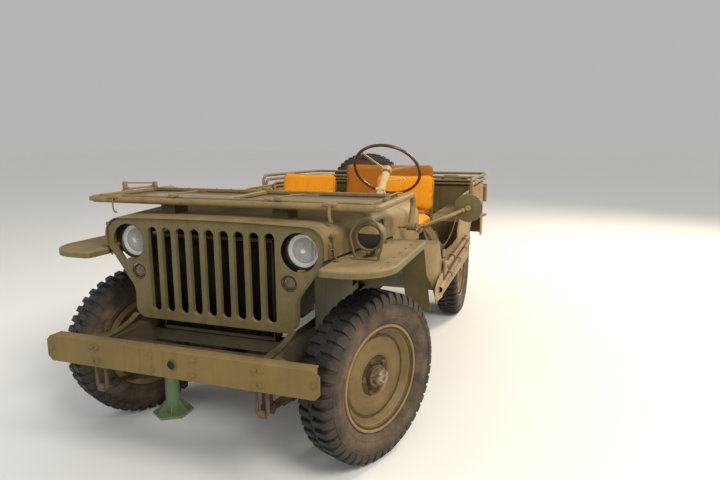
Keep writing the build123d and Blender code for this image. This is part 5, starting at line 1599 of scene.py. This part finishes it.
class ARMYCAR_OT_body_fittings(bpy.types.Operator):
    """Add the tub's rolled edges, handles, loops, straps and rivets"""
    bl_idname = "army_car.body_fittings"
    bl_label = "Body Fittings"

    def execute(self, context):
        rivet = context.scene.army_car_sizes.rivet_size
        form, straps, fender = Form(), Form(), Form()
        tub_points, fender_points = [], []
        for side in SIDES:
            side_edges(form, side)
            side_handles(form, side)
            side_straps(straps, side)
            tub_points += side_rivets(side)
            spots = [(628, y) for y in (-1180, -1000, -820)] + [(716, -1290 + k * 92) for k in range(7)]
            fender_points += [((side * x, y, FENDER_TOP), (0, 0, 1)) for x, y in spots]
            for y, inner in ((-1230, 560), (-930, 410)):
                fender.strip([(side * 735, y, 858), (side * inner, y, 862)], oblong(3, -9, 3))
            fender.block((side * 560 - 60, -714, 800), (side * 560 + 60, -702, 840), 2)
        finish_form(form, "tub_edges_and_handles", "root", ["side_paint"])
        finish_form(straps, "door_straps", "root", ["strap_webbing"])
        heads("tub_rivets", tub_points, "root", "side_paint", rivet, 0.004, 12, 1.0)
        finish_form(fender, "fender_braces", "root", ["olive_paint"])
        heads("fender_rivets", fender_points, "root", "dusty_paint",
              rivet * 1.1, 0.004, 12, 1.1)
        return {"FINISHED"}


TOOL_X = 790


class ARMYCAR_OT_tools(bpy.types.Operator):
    """Make the shovel and axe with their straps on the left side"""
    bl_idname = "army_car.tools"
    bl_label = "Tools"

    def execute(self, context):
        wood, steel, straps = Form(), Form(), Form()
        x = TOOL_X
        wood.tube([(x, -420, 600), (x, 470, 640)], 14.5, 16)
        wood.tube([(x, -360, 676), (x + 1, 200, 688), (x, 470, 690), (x, 512, 678)], 14, 16, 40)
        steel.lathe([(0, 15), (110, 17.5), (118, 16)], 20, turn=standing(x, -418, 600, (0, -1, -0.03)))
        blade = [(-440, 540), (-470, 536), (-600, 556), (-648, 590), (-640, 630), (-590, 652), (-470, 664),
                 (-440, 656)]
        steel.slab(blade, 3.2, 1, turn=Matrix.Translation((x - 3, 0, 0)) @ FACING_SIDE)
        steel.tube([(x, 470, 640), (x, 530, 642), (x, 566, 670), (x, 566, 614), (x, 530, 642)], 6, 10, 12)
        head = [(-412, 636), (-338, 652), (-334, 660), (-338, 700), (-346, 706), (-410, 712), (-402, 684)]
        steel.slab(head, 16, 4, turn=Matrix.Translation((x - 8, 0, 0)) @ FACING_SIDE)
        loop = ((0, -22), (18, -19), (33, -8), (33, 8), (18, 19), (0, 22), (0, 18), (16, 15), (29, 6),
                (29, -6), (16, -15), (0, -18))
        for y, z in ((-250, 608), (60, 621), (330, 634), (-150, 681), (330, 689)):
            straps.take(skin([[(775.3 + dx, y + dy, z + dz) for dx, dz in loop] for dy in (-12, 12)]))
            steel.block((SIDE_FACE, y - 16, z - 28), (779, y + 16, z + 28), 1)
        finish_form(wood, "tool_handles", "root", ["ash_handle"], replaces=["shovel_axe"])
        finish_form(steel, "tool_heads", "root", ["steel_paint"])
        finish_form(straps, "tool_straps", "root", ["strap_webbing"])
        return {"FINISHED"}


PANEL_Y = 1570
MIRROR_X, MIRROR_Y, MIRROR_Z = 892, -312, 979


class ARMYCAR_OT_rear_fittings(bpy.types.Operator):
    """Add tail lamps, reflectors, panel ribs, carrier bolts and the mirror's glass"""
    bl_idname = "army_car.rear_fittings"
    bl_label = "Rear Fittings"

    def execute(self, context):
        form = Form()
        for side in SIDES:
            place = rearward(side * 655, PANEL_Y, 640)
            form.lathe([(0, 0), (0, 38), (26, 36), (34, 30), (34, 24), (26, 24)], 32, turn=place)
            form.lathe([(26, 0), (26, 25), (33, 23), (36, 12), (37, 0)], 32, look=1, turn=place)
            place = rearward(side * 560, PANEL_Y, 592)
            form.lathe([(0, 0), (0, 36), (8, 36), (10, 33), (8, 31)], 32, turn=place)
            form.lathe([(8, 0), (8, 32), (10, 30), (12, 0)], 32, look=1, turn=place)
            grab_handle(form, sideways(side, [(520, 1571, 905), (520, 1600, 908), (640, 1600, 908),
                                              (640, 1571, 905)]))
        for x in (-560, 150):
            form.block((x - 14, PANEL_Y + 0.3, 580), (x + 14, 1576, 950), 3)
        form.block((-120, PANEL_Y + 0.3, 700), (80, 1575, 716), 2)
        finish_form(form, "tail_lamps_and_handles", "root", ["olive_paint", "red_glass"])
        points = [((x, 1582.4, z), (0, 1, 0)) for x in (-355, -245) for z in (785, 915)]
        points += [((x, 1578.4, z), (0, 1, 0)) for x in (300, 640) for z in (880, 720)]
        bolt = context.scene.army_car_sizes.bolt_size
        heads("carrier_bolts", points, "root", "olive_paint", bolt, 0.008)
        mirror = Form()
        place = rearward(MIRROR_X, MIRROR_Y, MIRROR_Z)
        mirror.lathe([(0, 0), (0.3, 66), (1.6, 66), (1.6, 0)], 56, turn=place)
        mirror.lathe([(-1, 67), (3.5, 68), (4, 71), (0, 73), (-6, 72.4), (-6, 70.6)], 56, True, 1, place)
        mirror.lathe([(-26, 0), (-26, 12), (-18, 15), (-17, 0)], 20, look=1, turn=place)
        foot, head = Vector((686, -432, 894)), Vector((889, -309, 977))
        mirror.tube([foot, head], 9.0, 14, look=1)
        mirror.tube([foot.lerp(head, 0.86), foot.lerp(head, 0.97)], 13, 14, look=1)
        finish_form(mirror, "mirror_face", "root", ["mirror_silver", "spotlit_paint"])
        return {"FINISHED"}


class ARMYCAR_OT_bow_rails(bpy.types.Operator):
    """Add the stowed bows' lower rails and sockets round the tub"""
    bl_idname = "army_car.bow_rails"
    bl_label = "Bow Rails"

    def execute(self, context):
        form = Form()
        x, y, rear = 760, 700, 1548
        for z in (998, 972):
            form.tube([(x, y, z - 40), (x, y + 30, z), (x, rear, z - 16), (-x, rear, z - 16), (-x, y + 30, z),
                       (-x, y, z - 40)], 8, 12, 60)
        for side in SIDES:
            for y in (624, 1540):
                form.tube([(side * 787, y, 812), (side * 787, y, 960)], 15, 16)
        finish_form(form, "bow_rails", "root", ["warm_lit_paint"])
        return {"FINISHED"}


CAN_X, CAN_Y = 470, 1674.5
CAN_HALF_WIDTH, CAN_HALF_DEPTH, CAN_CORNER = 171, 82, 30


class ARMYCAR_OT_fuel_can(bpy.types.Operator):
    """Make the fuel can with its pressed sides, handles, cap and strap"""
    bl_idname = "army_car.fuel_can"
    bl_label = "Fuel Can"

    def execute(self, context):
        form, strap = Form(), Form()
        x = CAN_X
        rows = []
        for z, inset in ((600, 6), (604, 1), (612, 0), (940, 0), (966, 4), (980, 14), (986, 30)):
            outline = round_cornered(CAN_HALF_WIDTH - inset, CAN_HALF_DEPTH - inset, CAN_CORNER)
            rows.append([(x + dx, CAN_Y + dy, z) for dx, dy in outline])
        form.take(skin(rows))
        for way in (1, -1):
            y = CAN_Y + way * CAN_HALF_DEPTH
            for low, high in ((640, 920), (920, 640)):
                form.tube([(x - 120, y, low), (x + 120, y, high)], 7, 8)
            form.tube([(x - 140, y, 625), (x + 140, y, 625), (x + 140, y, 940), (x - 140, y, 940),
                       (x - 140, y, 625)], 4, 8, 20)
        for y in (1636, 1674, 1712):
            form.strip([(x - 70, y, 984), (x - 66, y, 1016), (x + 66, y, 1016), (x + 70, y, 984)],
                       oblong(9, -2, 2), 14, up=(1, 0, 0))
        form.lathe([(0, 0), (0, 30), (16, 30), (18, 34), (26, 34), (28, 28), (28, 0)], 28,
                   turn=upright(x + 118, 1674, 980))
        strap.strip([(x - 176, 1574, 800), (x - 175, 1764, 800), (x + 175, 1764, 800), (x + 176, 1574, 800)],
                    oblong(1.2, -16, 16), 30)
        strap.block((x - 26, 1762, 780), (x + 26, 1769, 820), 1.5, 1)
        finish_form(form, "fuel_can_body", "root", ["olive_paint"], replaces=["fuel_can"])
        finish_form(strap, "fuel_can_strap", "root", ["strap_webbing", "worn_iron"])
        return {"FINISHED"}


SPRING_X = 350
SHOCK_X = 300
COVER_X, COVER_Z = -170, 356


class ARMYCAR_OT_running_gear(bpy.types.Operator):
    """Add spring clamps, shock absorbers and the axles' covers with their bolts"""
    bl_idname = "army_car.running_gear"
    bl_label = "Running Gear"

    def execute(self, context):
        form, points = Form(), []
        for away in (-1, 1):
            y = away * WHEEL_Y
            for side in SIDES:
                for dy in (-38, 38):
                    clamp = [(322, y + dy, 276), (322, y + dy, 392), (378, y + dy, 392), (378, y + dy, 276)]
                    form.tube(sideways(side, clamp), 5.5, 8, 12)
                    points += [((side * SPRING_X + dx, y + dy, 276), (0, 0, -1)) for dx in (-28, 28)]
                shock = side * SHOCK_X
                form.tube([(shock, y - away * 40, 300), (shock, y - away * 60, 380)], 20, 20)
                form.tube([(shock, y - away * 56, 360), (shock, y - away * 90, 500)], 25, 20)
                top_x, top_y = side * 312, y - away * 92
                form.block((top_x - 14, top_y - 14, 480), (top_x + 14, top_y + 14, 512), 3)
            points += [((COVER_X + dx, y + away * 72, COVER_Z + dz), (0, away, 0))
                       for dx, dz in circle(84, 10)]
            form.lathe([(0, 0), (0, 96), (8, 96), (16, 84), (34, 60), (42, 0)], 40,
                       turn=standing(COVER_X, y + away * 68, COVER_Z, (0, away, 0)))
        finish_form(form, "shock_absorbers_and_clamps", "root", ["grime_and_shade_paint"])
        heads("axle_bolts", points, "root", "rusty_iron",
              context.scene.army_car_sizes.bolt_size, 0.010)
        return {"FINISHED"}


# Stage

FLOOR_REACH = 60
SEEN_WORLD, UNSEEN_WORLD = 0.50, 0.64
LAMPS = [  # name, place, aim, width, power and colour, in metres and watts
    ("key", (4.2, -4.0, 5.4), (0, -0.3, 0.5), 2.8, 340, (1.0, 0.96, 0.88)),
    ("rim", (3.6, 4.8, 4.6), (0.2, -0.2, 0.9), 2.2, 380, (1.0, 0.86, 0.64)),
    ("fill", (-4.6, -3.8, 2.2), (0, 0, 0.6), 3.0, 45, (0.90, 0.95, 1.0)),
]
CAMERA_PLACE = (1254.2, -3093.5, 1320.8)
CAMERA_YAW, CAMERA_PITCH, CAMERA_ROLL = math.radians(-17.92), math.radians(-9.30), math.radians(-0.15)
CAMERA_LENS, CAMERA_SENSOR = 27.02, 36.0
CAMERA_SHIFT_X, CAMERA_SHIFT_Y = -0.0125, -0.0150


def lay_floor(scene):
    mesh = bpy.data.meshes.new("floor")
    reach = FLOOR_REACH
    mesh.from_pydata([(-reach, -reach, 0), (reach, -reach, 0), (reach, reach, 0), (-reach, reach, 0)], [],
                     [(0, 1, 2, 3)])
    _, shader = new_material("pale_floor")
    feed(shader, {"Base Color": rgba(scene.army_car_colours.floor), "Roughness": 0.75,
                  "Specular IOR Level": 0.2})
    mesh.materials.append(LOOKS["pale_floor"])
    floor = new_holder("floor", mesh)


def light_world(scene):
    """A plain pale world, a little darker where the camera or a reflection sees it."""
    world = bpy.data.worlds.new("studio")
    scene.world = world
    world.use_nodes = True
    tree = world.node_tree
    tree.nodes.clear()
    path = tree.nodes.new("ShaderNodeLightPath").outputs
    mirrored = math_node(tree, "MAXIMUM", path["Is Glossy Ray"], path["Is Transmission Ray"])
    seen = math_node(tree, "MAXIMUM", path["Is Camera Ray"], mirrored)
    strength = math_node(tree, "MULTIPLY_ADD", seen, SEEN_WORLD - UNSEEN_WORLD, UNSEEN_WORLD)
    back = put(tree, "ShaderNodeBackground", {"Color": (0.93, 0.925, 0.91, 1), "Strength": strength})
    put(tree, "ShaderNodeOutputWorld", {"Surface": back.outputs[0]})


def hang_lamps():
    for name, place, aim, size, power, tint in LAMPS:
        lamp = bpy.data.lights.new(name, "AREA")
        lamp.shape, lamp.size, lamp.energy, lamp.color = "DISK", size, power, tint
        holder = new_holder(name, lamp)
        holder.location = place
        holder.rotation_euler = (Vector(place) - Vector(aim)).to_track_quat("Z", "Y").to_euler()


def set_camera(scene):
    """The photo's view, as fitted to the car's known sizes."""
    yaw, pitch, roll = CAMERA_YAW, CAMERA_PITCH, CAMERA_ROLL
    ahead = Vector((math.sin(yaw) * math.cos(pitch), math.cos(yaw) * math.cos(pitch), math.sin(pitch)))
    right = ahead.cross(Vector((0, 0, 1))).normalized()
    up = right.cross(ahead)
    right, up = right * math.cos(roll) + up * math.sin(roll), up * math.cos(roll) - right * math.sin(roll)
    view = bpy.data.cameras.new("photo_view")
    view.lens, view.sensor_width = CAMERA_LENS, CAMERA_SENSOR
    view.shift_x, view.shift_y = CAMERA_SHIFT_X, CAMERA_SHIFT_Y
    view.clip_start, view.clip_end = 0.05, 200
    camera = new_holder("photo_view", view)
    turn = Matrix((right, up, -ahead)).transposed().to_4x4()
    camera.matrix_world = Matrix.Translation(at(*CAMERA_PLACE)) @ turn
    scene.camera = camera


class ARMYCAR_OT_stage(bpy.types.Operator):
    """Lay the floor and set the lamps, world and camera"""
    bl_idname = "army_car.stage"
    bl_label = "Stage"

    def execute(self, context):
        lay_floor(context.scene)
        light_world(context.scene)
        hang_lamps()
        set_camera(context.scene)
        context.scene.view_settings.view_transform = "Standard"
        return {"FINISHED"}


STEPS = [ARMYCAR_OT_finishes, ARMYCAR_OT_tyres, ARMYCAR_OT_wheel_fittings, ARMYCAR_OT_headlamps,
         ARMYCAR_OT_blackout_lamp, ARMYCAR_OT_radiator, ARMYCAR_OT_front_fittings,
         ARMYCAR_OT_hood_fittings, ARMYCAR_OT_windscreen, ARMYCAR_OT_seats, ARMYCAR_OT_steering,
         ARMYCAR_OT_dash, ARMYCAR_OT_controls, ARMYCAR_OT_body_fittings, ARMYCAR_OT_tools,
         ARMYCAR_OT_rear_fittings, ARMYCAR_OT_bow_rails, ARMYCAR_OT_fuel_can, ARMYCAR_OT_running_gear,
         ARMYCAR_OT_stage]


class ARMYCAR_PT_build(bpy.types.Panel):
    """The car's pieces, one button each"""
    bl_idname = "ARMYCAR_PT_build"
    bl_label = "Army Car"
    bl_space_type = "VIEW_3D"
    bl_region_type = "UI"
    bl_category = "Army Car"

    def draw(self, context):
        for group in (context.scene.army_car_sizes, context.scene.army_car_colours):
            column = self.layout.column(align=True)
            for key in group.bl_rna.properties.keys():
                if key not in ("rna_type", "name"):
                    column.prop(group, key)
        for step in STEPS:
            self.layout.operator(step.bl_idname)


CLASSES = [ArmyCarSizes, ArmyCarColours, *STEPS, ARMYCAR_PT_build]


def register():
    for item in CLASSES:
        bpy.utils.register_class(item)
    bpy.types.Scene.army_car_sizes = bpy.props.PointerProperty(type=ArmyCarSizes)
    bpy.types.Scene.army_car_colours = bpy.props.PointerProperty(type=ArmyCarColours)


def unregister():
    del bpy.types.Scene.army_car_colours
    del bpy.types.Scene.army_car_sizes
    for item in reversed(CLASSES):
        bpy.utils.unregister_class(item)


def main():
    register()
    for step in STEPS:
        group, name = step.bl_idname.split(".")
        getattr(getattr(bpy.ops, group), name)()


if __name__ == "__main__":
    main()
